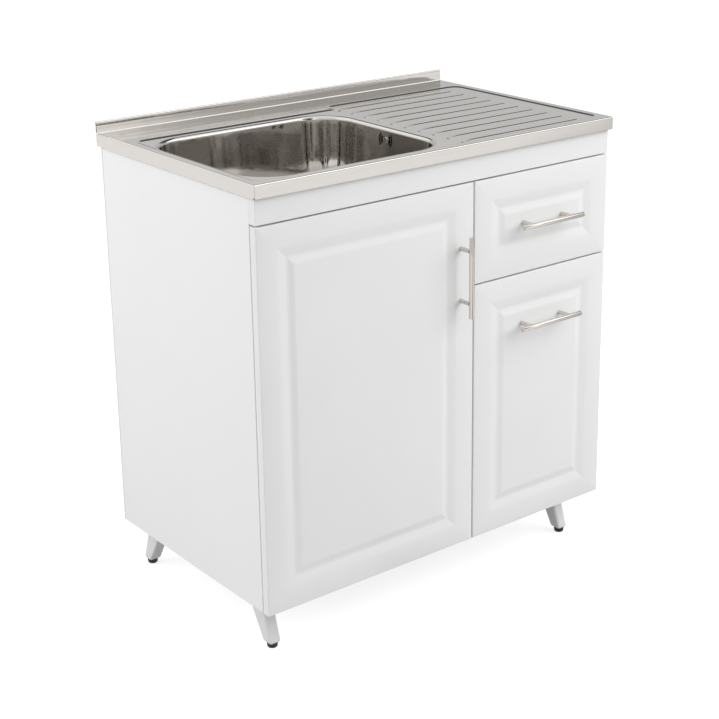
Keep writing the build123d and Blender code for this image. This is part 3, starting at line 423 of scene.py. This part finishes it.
# far enough past an edge that its rounding ends there
farPast = 50.0
deckLow, deckHigh = cornersOf("sink_top")
bowlFloor = cornersOf("waste_gasket")[1][2] + sheetLook["thickness"]
deckFront, deckBack, deckLeft, deckRight = deckLow[1], deckHigh[1], deckLow[0], deckHigh[0]
deckLevel = deckHigh[2] - sheetLook["upstandRise"]
fieldLevel = deckLevel - sheetLook["fieldDepth"]
mouthLow = np.array([deckLeft + bowlLook["left"], deckFront + bowlLook["front"]])
mouthHigh = mouthLow + (bowlLook["width"], bowlLook["length"])


def deckHeight(x, y):
    # height of the pressed sheet: the flat, less an eased step inside the field's outline, less
    # a bead near the upstand, plus the ribs, each an eased ridge about its own hooked line
    look = sheetLook
    left, right = deckLeft + look["fieldMargin"], deckRight - look["fieldMargin"]
    low = deckFront + look["fieldMargin"]
    bowlField = boxDistance(
        x, y, (left, low), (right, deckBack - look["bowlFieldBack"]), look["fieldRadius"])
    drainField = boxDistance(
        x, y, (deckLeft + look["drainerLeft"], low), (right, deckBack - look["drainerFieldBack"]),
        look["fieldRadius"])
    field = np.minimum(bowlField, drainField)
    height = deckLevel - look["fieldDepth"] * ease(-field / look["rampWidth"])
    beadY = deckBack - look["beadFromBack"]
    bead = boxDistance(
        x, y, (deckLeft + look["beadEndMargin"], beadY - look["beadHalf"]),
        (deckRight - look["beadEndMargin"], beadY + look["beadHalf"]), look["beadRadius"])
    height -= look["beadDepth"] * ease(-bead / look["beadRamp"])
    ribLeft, ribRight = deckLeft + look["ribLeft"], deckRight - look["ribRightMargin"]
    for rib in range(look["ribCount"]):
        along = np.clip(x, ribLeft, ribRight)
        hook = np.clip((ribLeft + look["ribHookLength"] - along) / look["ribHookLength"], 0, 1)
        line = deckFront + look["ribFirst"] + rib * look["ribPitch"] - look["ribHook"] * hook ** 2
        away = np.hypot(x - along, y - line)
        height += look["ribRise"] * ease(look["ribCrown"] * (1 - away / look["ribHalf"]))
    return height


def deckPatch(xLines, yLines):
    # the sheet as a height over a graded grid, cut along the bowl's rim
    look = bowlLook
    x, y = np.meshgrid(xLines, yLines, indexing="ij")
    inset = sheetLook["rollRadius"] + sheetLook["flatEdge"]
    corner = sheetLook["frontRightRadius"] - inset + hair

    def edgeDistance(px, py):
        low = (deckLeft - farPast, deckFront + inset)
        return boxDistance(px, py, low, (deckRight - inset, deckBack + farPast), corner)

    def rimDistance(px, py):
        grow = look["rimRadius"]
        return -boxDistance(
            px, py, mouthLow - grow, mouthHigh + grow, look["cornerRadius"] + grow)

    x, y = pullTo(x, y, edgeDistance, edgeDistance(x, y) > 0)
    inside = rimDistance(x, y) > 0
    keep = ~(inside[:-1, :-1] & inside[1:, :-1] & inside[1:, 1:] & inside[:-1, 1:])
    x, y = pullTo(x, y, rimDistance, inside)
    return gridPatch(np.stack([x, y, deckHeight(x, y)], axis=-1), keep=keep)


def thicken(piece, thickness):
    # gives a sheet its thickness below, with sharp borders so that its shading stays flat there
    mesh = piece.data
    shell = bmesh.new()
    shell.from_mesh(mesh)
    for edge in shell.edges:
        if edge.is_boundary:
            edge.smooth = False
    shell.to_mesh(mesh)
    shell.free()
    sheet = piece.modifiers.new("sheet", "SOLIDIFY")
    sheet.thickness = thickness * millimetre
    sheet.offset = -1
    sheet.use_rim = True


def pressedSheet(steel, inset, upstandStart):
    # the flat of the sink top in two pieces, which meet along a seam left of the drainer
    look = sheetLook
    margin, border, rim = look["fieldMargin"], look["borderMark"], bowlLook["rimRadius"]
    seam, beadY = deckLeft + look["seamLeft"], deckBack - look["beadFromBack"]
    beadMark = look["beadHalf"] - look["beadMark"]
    beadEnd = look["beadEndMargin"] + look["beadEndMark"]
    marksY = [
        deckFront + margin + border, deckBack - look["bowlFieldBack"] - border,
        deckBack - look["drainerFieldBack"] - border,
        *(deckFront + look["ribFirst"] + look["ribPitch"] * np.arange(look["ribCount"])),
        beadY - beadMark, beadY + beadMark, mouthLow[1] - rim, mouthHigh[1] + rim]
    leftMarks = [deckLeft + margin + border, deckLeft + beadEnd, mouthLow[0] - rim,
                 mouthHigh[0] + rim]
    rightMarks = [seam + look["seamMark"], deckLeft + look["ribLeft"],
                  deckRight - look["ribRightMargin"], deckRight - margin - border,
                  deckRight - beadEnd]
    yLines = gradedLines(deckFront + inset, upstandStart, marksY, *look["linesAcross"])
    leftLines = gradedLines(deckLeft + inset, seam, leftMarks, *look["linesLeft"])
    rightLines = gradedLines(seam, deckRight - inset, rightMarks, *look["linesRight"])
    for name, xLines in (("sinkDeck", leftLines), ("sinkDrainer", rightLines)):
        patch = deckPatch(xLines, yLines)
        piece = makePiece(name, [patch], steel, ["sink_top"], sharpAngle=60, closeHoles=False)
        thicken(piece, look["thickness"])


def sheetEdge(steel, inset):
    # the edge's profile: flat, rolled over, down the front and folded back up behind itself
    look = sheetLook
    roll, sheet, hem = look["rollRadius"], look["thickness"], look["edgeHem"]
    drop = deckLevel - deckLow[2]
    inner, lap = 2 * hem - sheet, hem - drop + look["edgeHemLap"]
    section = np.concatenate([
        [(inset, 0), (roll, 0)],
        arcPoints((roll, -roll), roll, 90, 180, steps=8)[1:],
        arcPoints((hem, hem - drop), hem, 180, 360, steps=8),
        [(2 * hem, look["edgeHemReturn"] - drop), (inner, look["edgeHemReturn"] - drop),
         (inner, lap), (sheet, lap), (sheet, -roll)],
        arcPoints((roll, -roll), roll - sheet, 180, 90, steps=6),
        [(inset, -sheet)],
    ])
    # the outline starts past the wall, and only its left side, front and right side are kept
    pastWall, square = 40.0, 0.01
    outline, ways = roundedOutline(
        np.array([deckLeft, deckFront]), np.array([deckRight, deckBack + pastWall]),
        (square, square, roll, look["frontRightRadius"]), cornerSteps=10, sideSteps=30)
    first = np.argmax(outline[:, 0] <= deckLeft + hair)
    order = (first + np.arange(len(outline))) % len(outline)
    outline, ways = outline[order], ways[order]
    keep = (outline[:, 1] <= deckBack) & (ways[:, 1] <= hair)
    left, right = ways[:, 0] < hair - 1, ways[:, 0] > 1 - hair
    startPoint, endPoint = np.array([[deckLeft, deckBack]]), np.array([[deckRight, deckBack]])
    outline = np.concatenate([startPoint, outline[keep], endPoint])
    ways = np.concatenate([ways[left][:1], ways[keep], ways[right][:1]])
    edge = carryProfile(outline, ways, section[:, 0], deckLevel + section[:, 1])
    patch = gridPatch(edge, (False, True))
    piece = makePiece("sinkEdge", [patch], steel, ["sink_top"], sharpAngle=50)
    # the fold leaves a small hole at the foot of the front left corner
    hole = look["cornerHole"]
    start = (deckLeft - hole, deckFront - hole, deckLow[2] + look["cornerHoleRise"])
    profile = [(0, hole), (look["cornerHoleDepth"], hole)]
    cutHoles(piece, [turnedShape(profile, start, (1, 1, 0), steps=20)], sharpAngle=50)


def sheetUpstand(steel, face, upstandStart):
    # up from a small fillet, leaning back by the square of the height above a level, rolled over
    # backwards as a half ellipse, and down to the deck again
    look = sheetLook
    sheet, fillet, gap = look["thickness"], look["upstandFillet"], look["upstandGap"]
    hemRadius, hemHeight = look["hemRadius"], look["hemHeight"]
    foot, top = look["leanStart"], look["upstandRise"] - look["hemHeight"]
    rise = np.linspace(0, 1, num=9)[1:]
    leaning = np.stack([face + look["lean"] * rise ** 2, foot + (top - foot) * rise], axis=-1)
    hemMiddle = (deckBack - hemRadius, top)
    outerHem = arcPoints((0, 0), 1, 180, 0, steps=16)[1:] * (hemRadius, hemHeight)
    innerHem = arcPoints((0, 0), 1, 0, 180, steps=12) * (hemRadius - sheet, hemHeight - sheet)
    section = np.concatenate([
        [(upstandStart, 10 * hair)],
        arcPoints((face - fillet, fillet), fillet, -90, 0, steps=7),
        [(face, foot)], leaning, outerHem + hemMiddle,
        [(deckBack, gap), (deckBack - sheet, gap)],
        innerHem + hemMiddle, leaning[::-1] + (sheet, 0), [(face + sheet, foot)],
        arcPoints((face - fillet, fillet), fillet + sheet, 0, -90, steps=7),
        [(upstandStart, -sheet)],
    ])
    along = np.linspace(deckLeft, deckRight, num=41)
    wall = np.empty((len(along), len(section), 3))
    wall[..., 0] = along[:, None]
    wall[..., 1] = section[None, :, 0]
    wall[..., 2] = deckLevel + section[None, :, 1]
    patch = gridPatch(wall, (False, True))
    makePiece("sinkUpstand", [patch], steel, ["sink_top"], sharpAngle=50)


def sinkTop():
    look, steel = sheetLook, finishes["stainless_sheet"]
    inset, face = look["rollRadius"] + look["flatEdge"], deckBack - look["upstandFold"]
    upstandStart = face - look["upstandFillet"] - look["flatEdge"]
    pressedSheet(steel, inset, upstandStart)
    sheetEdge(steel, inset)
    sheetUpstand(steel, face, upstandStart)


overflowLook = {
    "radii": (11.0, 17.0), "half": 2.3, "reach": 38.0, "screw": 2.6,
    "wallInset": 1.0, "inside": 14.0, "outside": 16.0,
}


def overflowCutter(level):
    # four curved slots through the wall, each a ring's sector with square ends, and a screw hole
    look = overflowLook
    half, reach, inside, outside = look["half"], look["reach"], look["inside"], look["outside"]
    middle = (mouthLow[1] + mouthHigh[1]) / 2
    centre = np.array([mouthHigh[0] - look["wallInset"], middle, level])
    patches = []
    for radius in look["radii"]:
        for side in (0, 180):
            ring = np.concatenate([
                arcPoints((0, 0), radius + half, side - reach, side + reach, steps=16),
                arcPoints((0, 0), radius - half, side + reach, side - reach, steps=16)])
            solid = np.empty((2, len(ring), 3))
            solid[..., 0] = centre[0] + np.array([-inside, outside])[:, None]
            solid[..., 1] = centre[1] + ring[None, :, 0]
            solid[..., 2] = centre[2] + ring[None, :, 1]
            patches.append(gridPatch(solid, (False, True)))
    profile = [(0, look["screw"]), (inside + outside, look["screw"])]
    patches.append(turnedShape(profile, centre - (inside, 0, 0), (1, 0, 0), steps=24))
    return patches


def sinkBowl():
    # a profile carried round the mouth: flat flange, rolled rim, drafted wall and floor fillet,
    # and then a floor that fades from the outline to a circle round the waste
    look = bowlLook
    rim, fillet, draft = look["rimRadius"], look["floorRadius"], radians(look["draft"])
    floorEdge = bowlFloor + look["floorFall"]
    roll = arcPoints((-rim, fieldLevel - rim), rim, 90, look["draft"], steps=14)
    filletTop = floorEdge + fillet * (1 - np.sin(draft))
    wallEnd = np.array([roll[-1, 0] + (roll[-1, 1] - filletTop) * np.tan(draft), filletTop])
    wall = roll[-1] + (wallEnd - roll[-1]) * np.linspace(0, 1, num=13)[1:-1, None]
    corner = (wallEnd[0] + fillet * np.cos(draft), floorEdge + fillet)
    curve = arcPoints(corner, fillet, 180 + look["draft"], 270, steps=16)
    flange = [(-rim - look["flange"], fieldLevel + look["flangeLift"])]
    section = np.concatenate([flange, roll, wall, curve])
    section[1, 1] += look["flangeLift"]
    outline, ways = roundedOutline(
        mouthLow, mouthHigh, (look["cornerRadius"],) * 4, cornerSteps=26, sideSteps=26)
    sides = carryProfile(outline, ways, section[:, 0], section[:, 1])
    edge = sides[:, -1]
    middle = (mouthLow + mouthHigh) / 2
    away = edge[:, :2] - middle
    circle = middle + look["wasteRadius"] * away / np.linalg.norm(away, axis=1, keepdims=True)
    t = np.linspace(0, 1, num=27)[1:]
    flat = edge[:, None, :2] + (circle - edge[:, :2])[:, None, :] * t[None, :, None]
    fall = floorEdge - look["floorFall"] * ease(t)
    level = np.broadcast_to(fall[None, :, None], (*flat.shape[:2], 1))
    floor = np.concatenate([flat, level], axis=-1)
    surface = gridPatch(np.concatenate([sides, floor], axis=1), (True, False))
    piece = makePiece(
        "sinkBowl", [surface], drawnStainless, ["sink_bowl"], sharpAngle=60, closeHoles=False)
    thicken(piece, sheetLook["thickness"])
    cutHoles(piece, overflowCutter(deckLevel - look["overflowDrop"]), sharpAngle=40)


sinkTop()
sinkBowl()
print("sink top and bowl made")


# routed fronts

frontLook = {
    "edgeRadius": 1.3, "backRadius": 0.8, "coveStart": 38.0, "groove": 56.5, "coveDepth": 2.5,
    "covePower": 1.3, "rampStart": 58.5, "rampEnd": 74.5, "fieldDepth": 0.2, "sharpAngle": 25,
    "cupFromEdge": 22.5, "cupHeights": (188.6, 692.4), "cupRadius": 17.6, "cupDepth": 11.6,
    "cupPast": 1.0,
}


def frontProfile(thick):
    # insets and depths: round the back, over the eased edge, down a cove whose depth is a power
    # of the way to a narrow groove, and up an S-shaped ramp to the field
    look = frontLook
    edge, back, deep = look["edgeRadius"], look["backRadius"], look["coveDepth"]
    cove, ramp = np.linspace(0, 1, num=12), np.linspace(0, 1, num=14)
    coveInset = look["coveStart"] + (look["groove"] - look["coveStart"]) * cove
    rampInset = look["rampStart"] + (look["rampEnd"] - look["rampStart"]) * ramp
    rampDepth = deep + (look["fieldDepth"] - deep) * ease(ramp)
    return np.concatenate([
        arcPoints((back, thick - back), back, 90, 180, steps=3),
        arcPoints((edge, edge), edge, 180, 270, steps=6),
        np.stack([coveInset, deep * cove ** look["covePower"]], axis=-1),
        np.stack([rampInset, rampDepth], axis=-1),
    ])


def sharpenMitres(mesh):
    # edges that run slanting over a front lie at the corners of its routing
    slanting = 1e-5
    ends = np.empty(len(mesh.edges) * 2, int)
    mesh.edges.foreach_get("vertices", ends)
    place = np.empty(len(mesh.vertices) * 3)
    mesh.vertices.foreach_get("co", place)
    way = np.abs(np.diff(place.reshape(-1, 3)[ends.reshape(-1, 2)], axis=1)[:, 0])
    mitre = (way[:, 0] > slanting) & (way[:, 2] > slanting)
    sharp = np.empty(len(mesh.edges), bool)
    mesh.attributes["sharp_edge"].data.foreach_get("value", sharp)
    mesh.attributes["sharp_edge"].data.foreach_set("value", sharp | mitre)


def frontPanel(name, node, cups=()):
    # the profile carried round a rectangle, as rings each inset by a distance and set back
    look = frontLook
    low, high = cornersOf(node)
    profile = frontProfile(high[1] - low[1])
    signs = np.array([(1, 1), (-1, 1), (-1, -1), (1, -1)])
    outer = np.where(signs > 0, high[[0, 2]], low[[0, 2]])
    flat = outer[None] - signs[None] * profile[:, None, :1]
    depth = np.broadcast_to(low[1] + profile[:, None, 1:], (len(profile), 4, 1))
    rings = gridPatch(np.concatenate([flat[..., :1], depth, flat[..., 1:]], axis=-1), (False, True))
    piece = makePiece(name, [rings], finishes["white_foil_front"], [node], look["sharpAngle"])
    if cups:
        across = low[0] + look["cupFromEdge"]
        bore = [(-look["cupDepth"], look["cupRadius"]), (look["cupPast"], look["cupRadius"])]
        bores = [turnedShape(bore, (across, high[1], height), (0, 1, 0)) for height in cups]
        cutHoles(piece, bores, look["sharpAngle"])
    sharpenMitres(piece.data)


frontPanel("doorFront", "door_panel", frontLook["cupHeights"])
frontPanel("upperDrawerFront", "upper_drawer_front")
frontPanel("lowerDrawerFront", "lower_drawer_front")
print("routed fronts made")


# handles

handleLook = {"bevel": 0.7, "dimple": 3.3, "dimpleDepth": 0.25}


def handlePieces(name, label):
    # a bar turned from a bevelled profile with a shallow dimple in each end, and two plain posts
    look, nickel = handleLook, finishes["satin_nickel"]
    low, high = cornersOf(label + "_handle_bar")
    size = high - low
    axis = int(np.argmax(size))
    way = np.eye(3)[axis]
    radius, length = size.min() / 2, size[axis]
    start = (low + high) / 2 - way * length / 2
    bevel, dimple, deep = look["bevel"], look["dimple"], look["dimpleDepth"]
    half = [(deep, 0), (deep, dimple - deep), (0, dimple), (0, radius - bevel),
            (bevel / 3, radius - bevel / 3), (bevel, radius)]
    profile = half + [(length - along, around) for along, around in reversed(half)]
    bar = turnedShape(profile, start, way)
    makePiece(name + "Bar", [bar], nickel, [label + "_handle_bar"])
    low, high = cornersOf(label + "_handle_posts")
    postRadius = min((high - low)[0], (high - low)[2]) / 2
    reach = high[1] - low[1]
    profile = [(0, 0), (0, postRadius), (reach, postRadius), (reach, 0)]
    patches = []
    for end, inward in ((low, 1), (high, -1)):
        spot = (low + high) / 2
        spot[axis] = end[axis] + inward * postRadius
        spot[1] = high[1]
        patches.append(turnedShape(profile, spot, (0, -1, 0), steps=40))
    makePiece(name + "Posts", patches, nickel, [label + "_handle_posts"])


handlePieces("doorHandle", "door")
handlePieces("upperHandle", "upper_drawer")
handlePieces("lowerHandle", "lower_drawer")
print("handles made")


# legs and glides

legLook = {
    "cornerRadius": 5.0, "footDepth": 24.0, "topDepth": 47.0,
    "edgeInsets": (4.5, 2.4, 1.1, 0.3, 0.0), "edgeRises": (0.0, 0.5, 1.6, 3.4, 5.5),
    "plainRises": (30.0, 60.0),
}


def legPiece(name, node, outward):
    # outlines of a rounded rectangle from the foot to the top, drawn in round the foot's edge,
    # and leaning because the foot stands further out than the top
    look = legLook
    low, high = cornersOf(node)
    footY = (low[1] if outward < 0 else high[1]) - outward * look["footDepth"] / 2
    topY = (high[1] if outward < 0 else low[1]) + outward * look["topDepth"] / 2
    rings = []
    for depth, y in ((look["footDepth"], footY), (look["topDepth"], topY)):
        corners = np.array([low[0], y - depth / 2]), np.array([high[0], y + depth / 2])
        radii = (look["cornerRadius"],) * 4
        rings.append(roundedOutline(*corners, radii, cornerSteps=8, sideSteps=3))
    (foot, ways), (top, _) = rings
    height = high[2] - low[2]
    rises = np.array([*look["edgeRises"], *look["plainRises"], height])
    insets = np.array([*look["edgeInsets"], *(0 for _ in look["plainRises"]), 0])
    t = (rises / height)[None, :, None]
    flat = foot[:, None] * (1 - t) + top[:, None] * t - ways[:, None] * insets[None, :, None]
    level = np.broadcast_to((low[2] + rises)[None, :, None], (*flat.shape[:2], 1))
    patch = gridPatch(np.concatenate([flat, level], axis=-1), (True, False))
    makePiece(name, [patch], finishes["grey_leg_plastic"], [node], sharpAngle=40)


for end, outward in (("front", -1), ("back", 1)):
    for side in ("Left", "Right"):
        legPiece(f"{end}{side}Leg", f"leg_{end}_{side.lower()}", outward)

# heights and radii: a domed tread, a groove above it and a collar under the leg
glideLook = {
    "radius": 10.0,
    "profile": ((0, 0), (0, 6.4), (0.7, 8.0), (2.2, 9.2), (4.4, 9.6), (4.8, 9.2), (5.4, 9.2),
                (5.8, 9.7), (9.2, 10.0), (10.0, 9.4), (10.0, 0)),
}
glideLow, glideHigh = cornersOf("foot_glides")
firstGlide, lastGlide = glideLow + glideLook["radius"], glideHigh - glideLook["radius"]
glides = [
    turnedShape(glideLook["profile"], (x, y, 0), (0, 0, 1), steps=40)
    for x in (firstGlide[0], lastGlide[0]) for y in (firstGlide[1], lastGlide[1])
]
makePiece("footGlides", glides, finishes["black_glide"], ["foot_glides"])
print("legs made")


# boards

def easedBoard(name, node, easing=0.7):
    # a board between two corners, its arrises broken by a small round
    low, high = cornersOf(node)
    signs = np.array([(x, y, z) for z in (0, 1) for x, y in ((0, 0), (1, 0), (1, 1), (0, 1))])
    points = low + signs * (high - low)
    quads = np.array([
        (0, 3, 2, 1), (4, 5, 6, 7), (0, 1, 5, 4), (1, 2, 6, 5), (2, 3, 7, 6), (3, 0, 4, 7)])
    piece = makePiece(name, [(points, quads)], finishes[slotOfNode[node]], [node])
    piece.data.set_sharp_from_angle(angle=pi)
    arris = piece.modifiers.new("easing", "BEVEL")
    arris.width = easing * millimetre
    arris.segments = 2
    arris.harden_normals = True


for boardName, boardNode in {
    "leftSide": "side_panel_left", "rightSide": "side_panel_right", "cabinetFloor": "bottom_panel",
    "topRail": "front_rail", "upperDrawerLeft": "upper_drawer_side_left",
    "upperDrawerRight": "upper_drawer_side_right", "upperDrawerBack": "upper_drawer_back",
    "lowerDrawerLeft": "lower_drawer_side_left", "lowerDrawerRight": "lower_drawer_side_right",
    "lowerDrawerBack": "lower_drawer_back",
}.items():
    easedBoard(boardName, boardNode)
print("boards made")


# studio

# the studio is in metres. Levels stand at places: across the half turn in front of the unit for
# the front ones, and from the horizon to straight above for the back ones
studioLook = {
    "floorHalf": 30.0, "floorColour": "#B8B8B8", "floorLift": 0.75, "worldLevel": 0.625,
    "floorFront": (
        (0.0, 1.0), (0.44, 1.0), (0.47, 0.12), (0.53, 0.12), (0.56, 1.0), (0.737, 1.0),
        (0.765, 0.84), (0.9, 0.6), (1.0, 0.5)),
    "backRight": (
        (0.0, 0.6), (0.15, 0.58), (0.20, 0.60), (0.24, 0.71), (0.32, 0.68), (0.37, 0.45),
        (0.45, 0.12), (0.75, 0.10), (0.82, 0.9), (0.90, 1.15), (1.0, 1.15)),
    "backLeft": (
        (0.0, 0.9), (0.15, 0.8), (0.28, 0.8), (0.34, 1.25), (0.7, 1.3), (0.84, 1.15), (1.0, 1.15)),
    "lowFront": (
        (0.0, 0.7), (0.30, 0.75), (0.42, 1.05), (0.47, 0.1), (0.53, 0.1), (0.57, 1.0),
        (0.60, 1.3), (0.645, 1.25), (0.662, 1.0), (0.674, 0.58), (0.70, 0.48), (0.74, 0.52),
        (1.0, 0.7)),
    "highFront": (
        (0.0, 0.9), (0.35, 0.9), (0.42, 1.6), (0.47, 0.08), (0.53, 0.08), (0.57, 0.6),
        (0.59, 0.15), (0.63, 0.15), (0.67, 2.0), (1.0, 1.6)),
    # each pair of heights or sides between which one part of the room blends into the next
    "toHighFront": (0.33, 0.41), "toOverhead": (0.76, 0.88), "toFront": (0.05, -0.05),
    "toBackRight": (0.05, 0.25), "overheadLevel": 1.15,
}
lampLooks = {
    "rightLamp": {
        "place": (2.0, -2.2, 2.4), "aim": (0.1, -0.2, 0.7), "size": (3.4, 2.6), "power": 84},
    "leftLamp": {
        "place": (-2.6, 0.9, 2.0), "aim": (-0.3, 0, 0.6), "size": (2.0, 2.0), "power": 42},
}


def levelRamp(tree, value, stops):
    # a value read through straight lines between stops, each a place from nought to one and a level
    top = max(level for place, level in stops)
    ramp = addNode(tree, "ShaderNodeValToRGB", {"Fac": value})
    marks = ramp.color_ramp.elements
    marks.remove(marks[1])
    for index, (place, level) in enumerate(stops):
        mark = marks[0] if index == 0 else marks.new(place)
        mark.position = place
        mark.color = (level / top, level / top, level / top, 1)
    scaled = addNode(
        tree, "ShaderNodeMath", {0: ramp.outputs["Color"], 1: top}, operation="MULTIPLY")
    return scaled.outputs["Value"]


def turnAcross(tree, way):
    # the half turn in front of the unit, from nought at its left to one at its right
    axes = addNode(tree, "ShaderNodeSeparateXYZ", {"Vector": way})
    toFront = addNode(tree, "ShaderNodeMath", {0: axes.outputs["Y"], 1: -1.0}, operation="MULTIPLY")
    angle = addNode(tree, "ShaderNodeMath", {
        0: axes.outputs["X"], 1: toFront.outputs["Value"]}, operation="ARCTAN2")
    return addNode(tree, "ShaderNodeMapRange", {
        "Value": angle.outputs["Value"], "From Min": -pi / 2, "From Max": pi / 2}).outputs["Result"]


def blendOver(tree, value, ends, first, second, **settings):
    # the first level until the value passes one end, and the second once it passes the other
    part = addNode(tree, "ShaderNodeMapRange", {
        "Value": value, "From Min": ends[0], "From Max": ends[1]}, **settings)
    return addNode(tree, "ShaderNodeMix", {
        "Factor": part.outputs["Result"], "A": first, "B": second}).outputs["Result"]


def studioFloor():
    # white to the camera with the unit's shadow on it, and to gloss a pale floor with a dark strip
    look = studioLook
    reach = look["floorHalf"]
    mesh = bpy.data.meshes.new("studioFloor")
    corners = [(-reach, -reach, 0), (reach, -reach, 0), (reach, reach, 0), (-reach, reach, 0)]
    mesh.from_pydata(corners, [], [(0, 1, 2, 3)])
    floor = bpy.data.objects.new("studioFloor", mesh)
    bpy.context.collection.objects.link(floor)
    material, tree = emptyFinish("paleFloor")
    path = addNode(tree, "ShaderNodeLightPath")
    lift = addNode(tree, "ShaderNodeMath", {
        0: path.outputs["Is Camera Ray"], 1: look["floorLift"]}, operation="MULTIPLY")
    matte = addNode(tree, "ShaderNodeBsdfDiffuse", {"Color": linear(look["floorColour"])})
    glow = addNode(tree, "ShaderNodeEmission", {"Strength": lift.outputs["Value"]})
    both = addNode(tree, "ShaderNodeAddShader", {
        0: matte.outputs["BSDF"], 1: glow.outputs["Emission"]})
    place = addNode(tree, "ShaderNodeTexCoord").outputs["Object"]
    screens = levelRamp(tree, turnAcross(tree, place), look["floorFront"])
    sheen = addNode(tree, "ShaderNodeEmission", {"Strength": screens})
    shown = addNode(tree, "ShaderNodeMixShader", {
        0: path.outputs["Is Glossy Ray"], 1: both.outputs["Shader"], 2: sheen.outputs["Emission"]})
    addNode(tree, "ShaderNodeOutputMaterial", {"Surface": shown.outputs["Shader"]})
    mesh.materials.append(material)


def studioWorld():
    # white to the camera, one even level for the whites, and for gloss a room: in front a dark
    # opening between bright screens, which change with height, bright overhead, and behind the
    # unit a wall whose middle is dark on the right
    look = studioLook
    world = bpy.data.worlds.new("studio")
    world.use_nodes = True
    tree = world.node_tree
    tree.nodes.clear()
    path = addNode(tree, "ShaderNodeLightPath")
    way = addNode(tree, "ShaderNodeTexCoord").outputs["Generated"]
    axes = addNode(tree, "ShaderNodeSeparateXYZ", {"Vector": way})
    toRight, toBack, upward = axes.outputs["X"], axes.outputs["Y"], axes.outputs["Z"]
    across = turnAcross(tree, way)
    screens = blendOver(
        tree, upward, look["toHighFront"], levelRamp(tree, across, look["lowFront"]),
        levelRamp(tree, across, look["highFront"]))
    front = blendOver(tree, upward, look["toOverhead"], screens, look["overheadLevel"])
    back = blendOver(
        tree, toRight, look["toBackRight"], levelRamp(tree, upward, look["backLeft"]),
        levelRamp(tree, upward, look["backRight"]))
    seen = blendOver(tree, toBack, look["toFront"], back, front, interpolation_type="SMOOTHSTEP")
    gloss = addNode(tree, "ShaderNodeMath", {
        0: path.outputs["Is Glossy Ray"], 1: path.outputs["Is Transmission Ray"],
    }, operation="MAXIMUM")
    indirect = addNode(tree, "ShaderNodeMix", {
        "Factor": gloss.outputs["Value"], "A": look["worldLevel"], "B": seen})
    level = addNode(tree, "ShaderNodeMix", {
        "Factor": path.outputs["Is Camera Ray"], "A": indirect.outputs["Result"], "B": 1.0})
    sky = addNode(tree, "ShaderNodeBackground", {
        "Color": (1, 1, 1, 1), "Strength": level.outputs["Result"]})
    addNode(tree, "ShaderNodeOutputWorld", {"Surface": sky.outputs["Background"]})
    bpy.context.scene.world = world


def studioLamps():
    for name, look in lampLooks.items():
        lamp = bpy.data.lights.new(name, "AREA")
        lamp.shape = "RECTANGLE"
        lamp.size, lamp.size_y = look["size"]
        lamp.energy = look["power"]
        holder = bpy.data.objects.new(name, lamp)
        holder.location = look["place"]
        toward = Vector(look["aim"]) - holder.location
        holder.rotation_euler = toward.to_track_quat("-Z", "Y").to_euler()
        holder.visible_glossy = False
        bpy.context.collection.objects.link(holder)


# the photograph is 719 pixels wide, and the focal length is in those pixels. Angles are in
# degrees, and the sensor is in millimetres
cameraLook = {
    "imageWidth": 719, "focalPixels": 1588.5, "azimuth": -38.92, "elevation": 17.36, "roll": -0.4,
    "place": (-1.719, -2.236, 1.456), "shift": (-0.06, -0.12), "sensor": 36, "clipEnd": 100,
}


def studioCamera():
    look = cameraLook
    camera = bpy.data.cameras.new("camera")
    camera.sensor_width = look["sensor"]
    camera.lens = look["focalPixels"] / look["imageWidth"] * camera.sensor_width
    camera.shift_x, camera.shift_y = look["shift"]
    camera.clip_end = look["clipEnd"]
    holder = bpy.data.objects.new("camera", camera)
    turn = Matrix.Rotation(radians(look["azimuth"]), 4, "Z")
    tilt = Matrix.Rotation(pi / 2 - radians(look["elevation"]), 4, "X")
    roll = Matrix.Rotation(radians(look["roll"]), 4, "Z")
    holder.matrix_world = Matrix.Translation(look["place"]) @ turn @ tilt @ roll
    bpy.context.collection.objects.link(holder)
    bpy.context.scene.camera = holder


studioFloor()
studioWorld()
studioLamps()
studioCamera()
bpy.context.scene.view_settings.view_transform = "Standard"
print("studio made")
